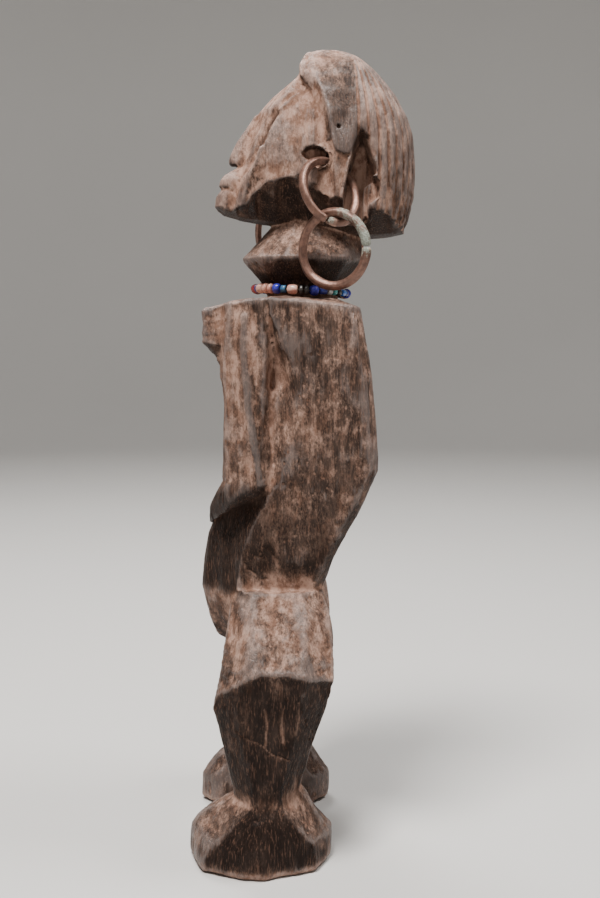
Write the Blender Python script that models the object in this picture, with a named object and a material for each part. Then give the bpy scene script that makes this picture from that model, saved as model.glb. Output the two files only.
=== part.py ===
"""A standing figure carved from one block of wood, with copper rings in its ears and a string of
glass beads round its neck.

The figure faces -Y, its left side is +X and it stands on z = 0. The wood is one solid. Each ring,
each bead and the thread through the beads is a solid of its own.
"""

import math

import bmesh
import bpy
from mathutils import Matrix, Vector

# Driving sizes, in metres.
FIGURE_HEIGHT = 0.350
LEFT_RING_HEIGHT = 0.0298
LEFT_RING_WIDTH = 0.0250
LEFT_RING_WIRE = 0.0038
LINK_RING_HEIGHT = 0.0312
LINK_RING_WIDTH = 0.0294
LINK_RING_WIRE = 0.0040
RIGHT_RING_HEIGHT = 0.0536
RIGHT_RING_WIDTH = 0.0500
RIGHT_RING_WIRE = 0.0032
LINK_RING_SHIFT = 0.001
RING_GAP_DEG = 7.0
RING_STEPS = 27
EAR_HOLE_CLEARANCE = 0.0014
TOUCH_GAP = 0.0003
SHARP_EDGE_DEG = 25.0
BEAD_BORE = 0.0014
THREAD_DIAMETER = 0.0006
BEAD_SPACING = 0.00055

# The carving is laid out on a grid that divides the height, so its forms are shares of it.
GRID = 770
UNIT = FIGURE_HEIGHT / GRID

# Outlines of the legs on the grid, as (height, place) pairs from the sole up.
LEG_FRONT = ((0, -104), (4, -109), (27, -108), (36, -101), (47, -90), (61, -66), (68, -66),
             (153, -84), (180, -79), (209, -74), (247, -68))
LEG_BACK = ((0, 20), (4, 25), (27, 26), (36, 17), (47, 9), (61, 1), (68, -4), (103, 4),
            (129, 13), (166, 27), (209, 26), (230, 22), (247, 17))
LEG_OUTER = ((0, 119), (4, 123), (27, 122), (36, 120), (47, 117), (61, 110), (68, 109), (129, 114),
             (172, 120), (190, 112.5), (209, 104), (247, 78))
LEG_INNER = ((0, 48), (4, 44), (27, 43), (47, 49), (61, 56), (68, 58), (129, 48), (166, 40),
             (180, 38), (209, 30), (247, 10))
LEG_CORNER = ((0, 26), (27, 26), (47, 24), (64, 20), (103, 19), (153, 24), (180, 27), (209, 26),
              (247, 18))

# The outer side of the foot and leg: (height, y of the outer face's edge, x inset and y of the ridge
# that runs down from the ankle, x inset of the corner), first towards the toes, then to the heel.
TOE_SIDE = ((0, -54, 17, -92, 48), (4, -54, 17, -95, 58), (27, -52, 15, -86, 56), (36, -50, 12, -73, 52),
            (47, -48, 8, -60, 44), (61, -46, 5, -52, 26), (68, -46, 9, -56, 20), (103, -53, 9, -62, 19),
            (129, -59, 10, -69, 21), (153, -60, 12, -72, 24), (172, -56, 12, -69, 25),
            (190, -51, 13, -65, 27), (209, -48, 13, -61, 26), (230, -49, 10, -60, 21),
            (247, -50, 9, -59, 18))
HEEL_SIDE = ((0, -36, 17, 8, 46), (4, -36, 18, 12, 50), (27, -34, 16, 7, 48), (36, -32, 12, -3, 42),
             (47, -29, 8, -13, 36), (61, -24, 5, -18, 26), (68, -24, 9, -14, 20), (103, -15, 9, -6, 19),
             (129, -8, 10, 2, 21), (153, -2, 12, 10, 24), (172, 0, 12, 13, 25), (190, 0, 13, 13, 27),
             (209, 0, 13, 13, 26), (230, 1, 10, 12, 21), (247, -1, 9, 8, 18))

# The outer face ends at the knee in an arched ridge: how far it is lifted at each place from front to
# back, and how much of that lift each height takes.
KNEE_ARCH = ((-84, -15), (-69, -5), (-56, 5), (-41, 12), (-15, 11), (0, 8), (13, 3), (26, -1))
ARCH_SHARE = ((129, 0), (153, 0.5), (172, 1), (190, 0.75), (209, 0.35), (247, 0))
LEG_LEVELS = (0, 4, 27, 36, 47, 61, 68, 103, 129, 153, 172, 190, 209, 230, 247)

# Outlines of the trunk.
TRUNK_FRONT = ((181, -74), (186, -82), (192, -89), (213, -96), (243, -103), (290, -97),
               (328, -82), (345, -74), (448, -73), (466, -86), (480, -98), (510, -98))
TRUNK_BACK = ((181, 4), (213, 10), (246, 17), (279, 29), (332, 57), (360, 69), (378, 70),
              (448, 63), (510, 53))
TRUNK_WIDTH = ((181, 16), (192, 26), (213, 46), (235, 64), (250, 66), (275, 72), (330, 82),
               (378, 91), (430, 95), (480, 97), (510, 95))
BELLY_WIDTH = ((181, 8), (213, 20), (243, 26), (290, 28), (345, 34), (440, 44), (466, 70),
               (480, 82), (510, 82))
HIP_EDGE = ((181, -70), (205, -72), (245, -67), (282, -60), (301, -53), (319, -45), (335, -34))
ARM_FRONT = ((338, -81), (388, -78), (424, -77), (452, -80), (480, -77), (510, -75))
ARM_RIDGE = ((338, -37), (361, -43), (389, -47), (424, -53), (470, -56), (510, -56))
ARM_REAR = ((338, -35), (403, -39), (431, -38), (466, -36), (487, -37), (510, -40))
ARMPIT_DEPTH = ((338, 2), (380, 9), (400, 12), (430, 14), (438, 26), (446, 27), (466, 20),
                (487, 11), (510, 3))
ARMPIT_RIM = ((338, -28), (380, -14), (400, -10), (440, -7), (466, -14), (487, -25), (510, -34))
ARM_INSET = ((338, 58), (440, 62), (466, 76), (480, 86), (510, 86))
ELBOW_BOTTOM = 338
ELBOW_TOP = 352
SHOULDER_TOP = ((-99, 511), (-77, 516), (-50, 521), (-2, 524), (35, 519), (54, 511))
TRUNK_LEVELS = (181, 186, 192, 213, 230, 243, 258, 275, 290, 305, 319, 330, 338, 345, 352, 361,
                375, 389, 403, 420, 432, 438, 446, 456, 466, 480, 495, 506)
FOREARM = ((-36.6, 70, 86.6, 347, 371), (-42, 60, 90, 338, 372), (-58, 48, 85.6, 329, 366),
           (-74, 30, 80, 319, 356), (-86, 14, 56, 309, 334), (-93, 8, 32, 303, 320))
TRUNK_RIM = 510

# Neck: a band with a sharp rim stands out between the shoulders and the head.
NECK_PLACE = -2
NECK_RADIUS = ((512, 36), (526, 36), (539, 43), (559, 61), (562, 62), (583, 42), (595, 31),
               (606, 22), (625, 20))
NECK_BACK = ((562, 62), (583, 59), (595, 50), (606, 36), (625, 28))
NECK_SIDES = 12

# Head, hair and face.
HAIR_LEVELS = (572, 591, 607, 622, 645, 663, 683, 702, 722, 738, 750, 759, 764, 768)
HAIR_BACK = ((572, 96), (591, 100), (607, 105), (622, 108), (645, 109), (663, 109), (683, 108),
             (702, 102), (722, 91), (738, 79), (750, 67), (759, 56), (764, 47), (768, 38))
HAIR_WIDTH = ((572, 60), (607, 64), (645, 66), (683, 63), (702, 60), (722, 54), (738, 46),
              (750, 38), (759, 29), (765, 20), (768, 12))
HAIR_FRONT = ((572, 17), (665, 16), (703, 11), (722, 6), (742, -8), (752, -5), (764, 1), (768, 14))
SIDE_RIDGE = ((572, 26), (668, 27), (703, 21), (722, 16), (742, 4), (759, 6), (768, 16))
HAIR_CENTRE = 46
FLUTES_EACH_SIDE = 9
FLUTE_DEPTH = 2.8
FIRST_FLUTE_DEG = 5
FACE_LEVELS = (575, 600, 620, 640, 652, 668, 684, 700, 707, 711, 724, 735, 744)
FACE_MIDDLE = ((575, -84), (605, -83), (620, -78), (640, -71), (652, -67), (670, -61), (690, -54),
               (707, -47), (712, -43), (724, -32), (735, -19), (744, -8))
FACE_RIDGE = ((575, -72), (612, -66), (632, -57), (661, -45), (684, -36), (706, -27), (731, -10),
              (744, -2))
FACE_RIDGE_WIDTH = ((575, 20), (612, 27), (632, 39), (661, 46), (684, 45), (706, 41), (731, 30),
                    (744, 18))
EYE_SINK = ((575, 0), (640, 1), (652, 4), (684, 8), (705, 8), (709, 0), (744, 0))
CHEEK_WIDTH = ((575, 57), (640, 59), (673, 57), (703, 52), (731, 40), (744, 30))
NOSE_FRONT = ((655, -75), (660, -76), (667, -74), (679, -68), (692, -59), (704, -50))
NOSE_WIDTH = ((655, 12), (667, 11), (704, 5))
NOSE_LEVELS = (655, 660, 667, 679, 692, 706)
MOUTH_FRONT = ((602, -80), (608, -86), (614, -90), (624, -89), (629, -85), (635, -86), (640, -85),
               (645, -81), (654, -66))
MOUTH_WIDTH = ((602, 16), (614, 19), (640, 21), (654, 13))
MOUTH_LEVELS = (602, 608, 614, 624, 629, 635, 640, 645, 654)
MOUTH_SLIT = 632
SLIT_HALF_HEIGHT = 1.3
SLIT_DEPTH = 9

# Under the head, from the chin back: (place, height of the keel, half its flat width, slope beside
# it).
UNDERSIDE = ((-100, 617, 3, 0.1), (-85, 608, 4, 0.2), (-80, 604, 5, 0.3), (-65, 600, 10, 0.62),
             (-45, 597, 16, 1.17), (-24, 594, 22, 1.6), (-5, 591, 23, 1.63), (3, 589, 24, 1.36),
             (16, 587, 25, 0.96), (26, 586, 25, 0.74), (64, 582, 24, 0.6), (85, 584, 19, 0.41),
             (120, 590, 10, 0.1))
UNDERSIDE_REACH = 90
UNDERSIDE_SPARE = 60

# Ears: a hole runs behind each ear post, from the cheek to the hollow behind the ear.
EAR_HOLE = (53.5, 17.5, 654)
RIGHT_RING_TOP = (-46, 1, 651)
EAR_HOLLOW = ((47, 668), (54, 687), (59, 673), (66, 649), (69, 640), (56, 632), (54, 560),
              (30, 560), (36, 620), (42, 650))
EAR_HOLLOW_FLOOR = 34
EAR_HOLLOW_TAPER = 0.85
EAR_SCOOP = ((49, 639), (70, 635), (69, 617), (60, 611), (58, 552), (49, 552))
EAR_SCOOP_FLOOR = 44
EAR_SCOOP_TAPER = 0.93
EAR_SURFACE = 60
EAR_MIDDLE = (58, 600)
HOLE_MOUTH = (62, 6, 659)
HOLE_MOUTH_SIZE = (17, 10.5)
RIGHT_MOUTH = (59, -26, 649)
RIGHT_MOUTH_SIZE = (14, 9)
LEFT_RING_LEAN_DEG = 23.0
LEFT_RING_TURN_DEG = 28.0
LINK_RING_TURN_DEG = -25.0
RIGHT_RING_LEAN_DEG = 15.0
RIGHT_RING_TURN_DEG = 12.0

# Beads from the front of the neck round its left side to the back, and on round the right side:
# (colour, length, diameter) in millimetres.
BEADS = (
    ("red", 3.0, 4.4), ("red", 2.6, 4.3), ("violet", 1.5, 3.9), ("pink", 4.0, 4.6),
    ("pink", 2.9, 4.6), ("pink", 2.2, 4.5), ("cobalt", 3.2, 4.7), ("teal", 2.3, 3.4),
    ("pink", 4.7, 4.5), ("black", 1.7, 4.1), ("black", 1.9, 4.1), ("cobalt", 3.8, 4.6),
    ("navy", 3.5, 3.0), ("white", 2.3, 2.9), ("turquoise", 2.1, 2.9), ("black", 2.5, 3.4),
    ("blue", 3.8, 3.2), ("navy", 3.3, 3.0), ("cobalt", 3.4, 4.5), ("white", 2.6, 3.4),
    ("pink", 3.4, 4.6), ("black", 1.9, 4.1), ("teal", 2.3, 3.5), ("cobalt", 3.8, 4.6),
    ("pink", 2.8, 4.5), ("navy", 3.4, 3.1), ("white", 2.4, 3.0), ("blue", 3.0, 3.4),
    ("pink", 3.6, 4.6), ("black", 1.9, 4.0), ("cobalt", 3.6, 4.7), ("turquoise", 2.2, 3.0),
    ("pink", 3.0, 4.5), ("black", 1.9, 4.0), ("blue", 2.4, 3.2), ("navy", 3.4, 3.2),
    ("pink", 3.2, 4.6), ("red", 3.0, 4.4),
)
BEAD_COLOURS = {
    "red": (0.45, 0.03, 0.03), "violet": (0.12, 0.06, 0.30), "pink": (0.62, 0.28, 0.22),
    "cobalt": (0.03, 0.03, 0.35), "teal": (0.02, 0.09, 0.20), "black": (0.02, 0.02, 0.02),
    "navy": (0.02, 0.02, 0.20), "white": (0.75, 0.75, 0.72), "turquoise": (0.08, 0.45, 0.45),
    "blue": (0.02, 0.12, 0.55),
}
BEAD_SIDES = 6
THREAD_STEPS = 36
NECKLACE_PLACE = -4
NECKLACE_TILT_DEG = 3.0
MM = 0.001


def at(outline, place):
    """The value of an outline of (place, value) pairs at a place between its points."""
    if place <= outline[0][0]:
        return outline[0][1]
    for (low, first), (high, second) in zip(outline, outline[1:]):
        if place <= high:
            return first + (second - first) * (place - low) / (high - low)
    return outline[-1][1]


def part_way(start, end, share):
    """The point a share of the way from start to end."""
    return tuple(a + (b - a) * share for a, b in zip(start, end))


def both_sides(half):
    """A closed ring from its left half, whose first and last points lie on the middle plane."""
    return list(half) + [(-x, y) for x, y in reversed(half[1:-1])]


def in_metres(ring):
    """Grid points as metres."""
    return [Vector(p) * UNIT for p in ring]


def finish(mesh, name):
    """Makes an object of a bmesh, with its faces pointing out."""
    bmesh.ops.recalc_face_normals(mesh, faces=mesh.faces)
    if mesh.calc_volume(signed=True) < 0:
        bmesh.ops.reverse_faces(mesh, faces=mesh.faces)
    data = bpy.data.meshes.new(name)
    mesh.to_mesh(data)
    mesh.free()
    thing = bpy.data.objects.new(name, data)
    bpy.context.collection.objects.link(thing)
    return thing


def loft(name, rings):
    """A closed solid through a stack of rings with as many points each, by extruding its end face."""
    mesh = bmesh.new()
    first = [mesh.verts.new(p) for p in rings[0]]
    end = mesh.faces.new(first)
    for ring in rings[1:]:
        end = bmesh.ops.extrude_discrete_faces(mesh, faces=[end])["faces"][0]
        for vert, place in zip(end.verts, ring):
            vert.co = place
    mesh.faces.new(reversed(first))
    return finish(mesh, name)


def boolean(target, others, operation):
    """Joins or cuts target with the other objects and keeps the result as its mesh."""
    for other in others:
        step = target.modifiers.new(other.name, "BOOLEAN")
        step.operation = operation
        step.solver = "EXACT"
        step.object = other
    bpy.context.view_layer.update()
    graph = bpy.context.evaluated_depsgraph_get()
    data = bpy.data.meshes.new_from_object(target.evaluated_get(graph))
    target.modifiers.clear()
    target.data = data
    for other in others:
        bpy.data.objects.remove(other)
    return target


def mirrored(thing):
    """A copy of thing on the other side of the middle plane."""
    mesh = bmesh.new()
    mesh.from_mesh(thing.data)
    mesh.transform(Matrix.Scale(-1, 4, (1, 0, 0)))
    return finish(mesh, thing.name + "_right")


def row_at(rows, height):
    """Each column of a table of rows at a height between its rows."""
    return [at([(row[0], row[k]) for row in rows], height) for k in range(1, len(rows[0]))]


def leg():
    """The left foot, shin and thigh: a column that is broad at the sole and knee. The foot is round in
    plan, and two ridges fan out from the ankle over its outer side. The shin's outer face ends above
    the knee in an arched ridge."""
    rings = []
    for z in LEG_LEVELS:
        front, back = at(LEG_FRONT, z), at(LEG_BACK, z)
        inner, outer, inside = at(LEG_INNER, z), at(LEG_OUTER, z), at(LEG_CORNER, z) * 0.6
        toe_edge, toe_inset, toe_ridge, toe_corner = row_at(TOE_SIDE, z)
        heel_edge, heel_inset, heel_ridge, heel_corner = row_at(HEEL_SIDE, z)
        ring = [
            (inner, front + inside), (inner + inside, front), (outer - toe_corner, front),
            (outer - toe_inset, toe_ridge), (outer, toe_edge),
            part_way((outer, toe_edge), (outer, heel_edge), 0.3),
            part_way((outer, toe_edge), (outer, heel_edge), 0.75), (outer, heel_edge),
            (outer - heel_inset, heel_ridge), (outer - heel_corner, back),
            (inner + inside, back), (inner, back - inside),
        ]
        lift = at(ARCH_SHARE, z)
        rings.append(in_metres([(x, y, z + (lift * at(KNEE_ARCH, y) if 2 <= i <= 9 else 0))
                                for i, (x, y) in enumerate(ring)]))
    return loft("leg", rings)


def trunk_ring(z):
    """The trunk's ring at a height: belly and hips low down, arms and armpits above the elbow."""
    front, back = at(TRUNK_FRONT, z), at(TRUNK_BACK, z)
    width, belly = at(TRUNK_WIDTH, z), (at(BELLY_WIDTH, z), front + 3)
    edge = (width, at(HIP_EDGE, z))
    low = [part_way(belly, edge, share) for share in (0.2, 0.45, 0.7, 0.85, 0.95, 1)]
    inset, arm, ridge, rear = at(ARM_INSET, z), at(ARM_FRONT, z), at(ARM_RIDGE, z), at(ARM_REAR, z)
    pit = width - at(ARMPIT_DEPTH, z)
    high = [
        (inset, arm), (part_way((inset, 0), (width, 0), 0.7)[0], arm + 4), (width + 2, ridge),
        (width - 2, rear), (pit, rear + 7), (width, at(ARMPIT_RIM, z)),
    ]
    share = min(1, max(0, (z - ELBOW_BOTTOM) / (ELBOW_TOP - ELBOW_BOTTOM)))
    side = [part_way(a, b, share) for a, b in zip(low, high)]
    half = [(0, front), belly] + side + [(width, back - 9), (width * 0.86, back - 1), (0, back)]
    return both_sides(half)


def trunk():
    """Belly, chest, back and upper arms, with the shoulders' low dome on top."""
    rings = [in_metres([(x, y, z) for x, y in trunk_ring(z)]) for z in TRUNK_LEVELS]
    rim = trunk_ring(TRUNK_RIM)
    rings.append(in_metres([(x, y, at(SHOULDER_TOP, y) - 2) for x, y in rim]))
    for share, lift in ((0.975, 0), (0.6, 1)):
        rings.append(in_metres([(x * share, y * share, at(SHOULDER_TOP, y * share) + lift) for x, y in rim]))
    top = at(SHOULDER_TOP, 0)
    rings.append(in_metres([(x * 0.3, y * 0.3, top) for x, y in rim]))
    return loft("trunk", rings)


def forearm():
    """The left forearm, which runs from the elbow to the hand and is cut back underneath."""
    rings = []
    for y, inner, outer, low, high in FOREARM:
        rings.append(in_metres([
            (inner, y, low + 5), (outer - 9, y, low), (outer, y, low + 7), (outer, y, high - 8),
            (outer - 10, y, high), (inner, y, high),
        ]))
    return loft("forearm", rings)


def neck():
    """The neck with its sharp-rimmed band."""
    rings = []
    for z, radius in NECK_RADIUS:
        back = at(NECK_BACK, z) if z > NECK_BACK[0][0] else radius
        turns = [2 * math.pi * (i + 0.5) / NECK_SIDES for i in range(NECK_SIDES)]
        rings.append(in_metres([
            (0.95 * radius * math.sin(a),
             NECK_PLACE + (back if math.cos(a) > 0 else radius) * math.cos(a), z) for a in turns
        ]))
    return loft("neck", rings)


def hair_ring(z):
    """The hair's ring at a height: a flat front, smooth sides and a fluted back."""
    width, back = at(HAIR_WIDTH, z), at(HAIR_BACK, z)
    front, ridge = at(HAIR_FRONT, z), at(SIDE_RIDGE, z)
    centre = min(HAIR_CENTRE, back - 14)
    half = [(0, front), (width * 0.82, front), (width, min(ridge, centre - 8))]
    sunk = FLUTE_DEPTH * min(1, (back - centre) / 40)
    step = (90 - FIRST_FLUTE_DEG) / (FLUTES_EACH_SIDE * 3)
    for i in range(FLUTES_EACH_SIDE * 3 + 1):
        turn = math.radians(FIRST_FLUTE_DEG + step * i)
        depth = sunk if i % 3 == 0 else 0
        half.append(((width - depth) * math.cos(turn), centre + (back - centre - depth) * math.sin(turn)))
    return both_sides(half)


def hair():
    """The cap of hair, with flutes that fan from the crown down to the nape."""
    return loft("hair", [in_metres([(x, y, z) for x, y in hair_ring(z)]) for z in HAIR_LEVELS])


def face():
    """The face: a wedge whose front turns at a ridge on each side, with sunk eyes inside it."""
    rings = []
    for z in FACE_LEVELS:
        middle, ridge = at(FACE_MIDDLE, z), at(FACE_RIDGE, z)
        width, cheek = at(FACE_RIDGE_WIDTH, z), at(CHEEK_WIDTH, z)
        brow = (width * 0.45, middle + (ridge - middle) * 0.35 + at(EYE_SINK, z) * 0.4)
        eye = (width * 0.86, ridge - 4 + at(EYE_SINK, z) * 0.6)
        half = [(0, middle), brow, eye, (width, ridge), (cheek, 24), (cheek * 0.6, 40), (0, 44)]
        rings.append(in_metres([(x, y, z) for x, y in both_sides(half)]))
    return loft("face", rings)


def nose():
    """The long nose, a wedge that widens to its tip."""
    rings = []
    for z in NOSE_LEVELS:
        front, wide = at(NOSE_FRONT, z), at(NOSE_WIDTH, z)
        half = [(0, front), (wide * 0.45, front + 1), (wide, front + 16), (wide, -20), (0, -20)]
        rings.append(in_metres([(x, y, z) for x, y in both_sides(half)]))
    return loft("nose", rings)


def mouth():
    """The jutting mouth and chin."""
    rings = []
    for z in MOUTH_LEVELS:
        front, wide = at(MOUTH_FRONT, z), at(MOUTH_WIDTH, z)
        half = [(0, front), (wide * 0.6, front + 2), (wide, front + 9), (wide * 1.15, -50), (0, -50)]
        rings.append(in_metres([(x, y, z) for x, y in both_sides(half)]))
    return loft("mouth", rings)


def mouth_slit():
    """The cut between the lips."""
    front = at(MOUTH_FRONT, MOUTH_SLIT)
    rings = []
    for x in (-30, 30):
        rings.append(in_metres([
            (x, front - 8, MOUTH_SLIT + 2 * SLIT_HALF_HEIGHT), (x, front + SLIT_DEPTH, MOUTH_SLIT + 0.4),
            (x, front + SLIT_DEPTH, MOUTH_SLIT - 0.4), (x, front - 8, MOUTH_SLIT - 2 * SLIT_HALF_HEIGHT),
        ]))
    return loft("mouth_slit", rings)


def underside():
    """What is cut away below the head: its top is the flat keel and the slopes up to the jaw."""
    rings = []
    for y, keel, flat, slope in UNDERSIDE:
        rise = keel + 2 + slope * (UNDERSIDE_REACH - flat)
        rings.append(in_metres([
            (-UNDERSIDE_REACH, y, rise), (-flat, y, keel + 2), (0, y, keel), (flat, y, keel + 2),
            (UNDERSIDE_REACH, y, rise), (UNDERSIDE_REACH, y, keel - UNDERSIDE_SPARE),
            (-UNDERSIDE_REACH, y, keel - UNDERSIDE_SPARE),
        ]))
    return loft("underside", rings)


def side_cut(name, outline, floor, taper):
    """A cutter with an outline seen on the left side, which narrows inward to its floor."""
    rings = []
    for x in (floor, EAR_SURFACE + 30):
        share = taper + (1 - taper) * (x - floor) / (EAR_SURFACE - floor)
        spots = [part_way(EAR_MIDDLE, spot, share) for spot in outline]
        rings.append(in_metres([(x, y, z) for y, z in spots]))
    return loft(name, rings)


def hole_mouth(name, place, size, side):
    """The oval mouth of an ear hole on a cheek: side is 1 on the left and -1 on the right."""
    x, y, z = place
    wide, high = size
    rings = []
    for shift, grow in ((-16, 0.6), (16, 1.1)):
        turns = [2 * math.pi * i / 12 for i in range(12)]
        rings.append(in_metres([
            (side * (x + shift), y - shift * 0.25 + wide * grow * math.cos(a), z + high * grow * math.sin(a))
            for a in turns
        ]))
    return loft(name, rings)


def ring_frame(top, height, turn_deg, lean_deg, side):
    """Places a ring that hangs with the middle of its wire's top at a point. Its local x runs to the
    back and local y up; it turns about the vertical, and its foot leans out to its own side."""
    turn = Matrix.Rotation(math.radians(turn_deg * side), 4, "Z")
    lean = Matrix.Rotation(math.radians(-lean_deg * side), 4, "Y")
    upright = Matrix(((0, 0, 1, 0), (1, 0, 0, 0), (0, 1, 0, 0), (0, 0, 0, 1)))
    drop = Matrix.Translation((0, -height / 2, 0))
    return Matrix.Translation(top) @ turn @ lean @ upright @ drop


def ring_solid(name, frame, height, width, wire, start_deg, end_deg, steps, sides):
    """A wire bent to an oval, from one angle to another, counted from the top towards the back."""
    rings = []
    for i in range(steps + 1):
        a = math.radians(start_deg + (end_deg - start_deg) * i / steps)
        out = Vector((math.sin(a) / width, math.cos(a) / height, 0)).normalized()
        centre = Vector((width / 2 * math.sin(a), height / 2 * math.cos(a), 0))
        ring = []
        for k in range(sides):
            b = 2 * math.pi * (k + 0.5) / sides
            ring.append(frame @ (centre + wire / 2 * (out * math.cos(b) + Vector((0, 0, 1)) * math.sin(b))))
        rings.append(ring)
    return loft(name, rings)


def open_ring(name, frame, height, width, wire, gap_at_deg):
    """A whole ring with its small opening at an angle from the top."""
    half_gap = RING_GAP_DEG / 2
    return ring_solid(name, frame, height, width, wire, gap_at_deg + half_gap,
                      gap_at_deg + 360 - half_gap, RING_STEPS, 8)


def left_ring_frame():
    """Where the ring in the left ear hangs."""
    return ring_frame(Vector(EAR_HOLE) * UNIT, LEFT_RING_HEIGHT, LEFT_RING_TURN_DEG, LEFT_RING_LEAN_DEG, 1)


def right_ring_frame():
    """Where the bigger ring in the right ear hangs."""
    return ring_frame(Vector(RIGHT_RING_TOP) * UNIT, RIGHT_RING_HEIGHT, RIGHT_RING_TURN_DEG,
                      RIGHT_RING_LEAN_DEG, -1)


def link_ring_frame():
    """Where the linked ring hangs: its wire rests in the foot of the left ear's ring."""
    foot = left_ring_frame() @ Vector((0, -LEFT_RING_HEIGHT / 2, 0))
    rise = (LEFT_RING_WIRE + LINK_RING_WIRE) / 2 + TOUCH_GAP
    top = foot + Vector((0, -LINK_RING_SHIFT, rise))
    return ring_frame(top, LINK_RING_HEIGHT, LINK_RING_TURN_DEG, 0, 1)


def ear_hole(name, frame, height, width, wire, start_deg, end_deg):
    """The hole behind an ear post, bent to the curve of the ring that hangs in it."""
    bore = wire + 2 * EAR_HOLE_CLEARANCE
    return ring_solid(name, frame, height, width, bore, start_deg, end_deg, 8, 8)


def ear_holes():
    """The holes of both ears. The right one is longer, for its bigger ring."""
    left = ear_hole("left_hole", left_ring_frame(), LEFT_RING_HEIGHT, LEFT_RING_WIDTH,
                    LEFT_RING_WIRE, -62, 86)
    right = ear_hole("right_hole", right_ring_frame(), RIGHT_RING_HEIGHT, RIGHT_RING_WIDTH,
                     RIGHT_RING_WIRE, -40, 96)
    return [left, right]


def head():
    """The head with its hair, face and pierced ears."""
    block = boolean(hair(), [face(), nose(), mouth()], "UNION")
    scoop = side_cut("scoop", EAR_SCOOP, EAR_SCOOP_FLOOR, EAR_SCOOP_TAPER)
    hollow = side_cut("hollow", EAR_HOLLOW, EAR_HOLLOW_FLOOR, EAR_HOLLOW_TAPER)
    hollow = boolean(hollow, [scoop], "UNION")
    cuts = [hollow, mirrored(hollow), hole_mouth("left_mouth", HOLE_MOUTH, HOLE_MOUTH_SIZE, 1),
            hole_mouth("right_mouth", RIGHT_MOUTH, RIGHT_MOUTH_SIZE, -1)]
    return boolean(block, cuts + ear_holes() + [underside(), mouth_slit()], "DIFFERENCE")


def shade(thing, colour, roughness, metallic=0.0):
    """Gives thing its material and smooth shading between sharp edges."""
    name = thing.name + "_finish"
    material = bpy.data.materials.new(name)
    material.use_nodes = True
    shader = material.node_tree.nodes["Principled BSDF"]
    shader.inputs["Base Color"].default_value = (*colour, 1)
    shader.inputs["Roughness"].default_value = roughness
    shader.inputs["Metallic"].default_value = metallic
    thing.data.materials.clear()
    thing.data.materials.append(material)
    thing.data.shade_smooth()
    thing.data.set_sharp_from_angle(angle=math.radians(SHARP_EDGE_DEG))


def figure():
    """The whole carving as one solid of wood."""
    limbs = [leg(), forearm()]
    limbs += [mirrored(limb) for limb in limbs]
    whole = boolean(trunk(), limbs + [neck(), head()], "UNION")
    whole.name = "figure"
    shade(whole, (0.09, 0.05, 0.03), 0.55)
    return whole


def earrings():
    """A ring with a second one linked through it at the left ear, and a bigger ring at the right."""
    rings = [
        open_ring("left_ear_ring", left_ring_frame(), LEFT_RING_HEIGHT, LEFT_RING_WIDTH,
                  LEFT_RING_WIRE, 200),
        open_ring("left_linked_ring", link_ring_frame(), LINK_RING_HEIGHT, LINK_RING_WIDTH,
                  LINK_RING_WIRE, 88),
        open_ring("right_ear_ring", right_ring_frame(), RIGHT_RING_HEIGHT, RIGHT_RING_WIDTH,
                  RIGHT_RING_WIRE, 95),
    ]
    for ring in rings:
        shade(ring, (0.30, 0.13, 0.07), 0.4, 0.9)


def necklace_frame():
    """The plane of the string of beads, which lies on the shoulders round the neck."""
    widest = max(diameter for _, _, diameter in BEADS) * MM
    height = at(SHOULDER_TOP, 0) * UNIT + widest / 2 + 2 * TOUCH_GAP
    tilt = Matrix.Rotation(math.radians(-NECKLACE_TILT_DEG), 4, "X")
    return Matrix.Translation((0, NECKLACE_PLACE * UNIT, height)) @ tilt


def necklace_radius():
    """The radius of the thread: the beads just fill it, and the widest clear the neck."""
    total = sum(length for _, length, _ in BEADS) * MM + len(BEADS) * BEAD_SPACING
    return total / (2 * math.pi)


def bead(name, length, diameter, frame):
    """A barrel-shaped glass bead with its bore, lying along local x."""
    wide, bore, half = diameter / 2, BEAD_BORE / 2, length / 2
    profile = [(-half, bore), (-half, wide * 0.62), (-half * 0.5, wide), (half * 0.5, wide),
               (half, wide * 0.62), (half, bore)]
    mesh = bmesh.new()
    points = [mesh.verts.new((x, 0, r)) for x, r in profile]
    edges = [mesh.edges.new(pair) for pair in zip(points, points[1:] + points[:1])]
    bmesh.ops.spin(mesh, geom=points + edges, cent=(0, 0, 0), axis=(1, 0, 0), steps=BEAD_SIDES,
                   angle=2 * math.pi, use_merge=True)
    bmesh.ops.remove_doubles(mesh, verts=mesh.verts, dist=0.00001)
    mesh.transform(frame)
    return finish(mesh, name)


def necklace():
    """Every bead in its place on the thread, and the thread."""
    plane, radius = necklace_frame(), necklace_radius()
    travelled = 0
    for number, (colour, length, diameter) in enumerate(BEADS, 1):
        pitch = length * MM + BEAD_SPACING
        turn = (travelled + pitch / 2) / radius
        travelled += pitch
        spot = Matrix.Rotation(turn, 4, "Z") @ Matrix.Translation((0, -radius, 0))
        piece = bead(f"bead_{number:02d}_{colour}", length * MM, diameter * MM, plane @ spot)
        shade(piece, BEAD_COLOURS[colour], 0.2)
    mesh = bmesh.new()
    thin = THREAD_DIAMETER / 2
    rim = [mesh.verts.new((radius + thin * math.cos(a), 0, thin * math.sin(a)))
           for a in (math.pi * k / 2 for k in range(4))]
    edges = [mesh.edges.new(pair) for pair in zip(rim, rim[1:] + rim[:1])]
    bmesh.ops.spin(mesh, geom=rim + edges, cent=(0, 0, 0), axis=(0, 0, 1), steps=THREAD_STEPS,
                   angle=2 * math.pi, use_merge=True)
    bmesh.ops.remove_doubles(mesh, verts=mesh.verts, dist=0.00001)
    mesh.transform(plane)
    shade(finish(mesh, "bead_thread"), (0.12, 0.09, 0.06), 0.8)


def main():
    for old in list(bpy.data.objects):
        bpy.data.objects.remove(old)
    figure()
    earrings()
    necklace()


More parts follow.
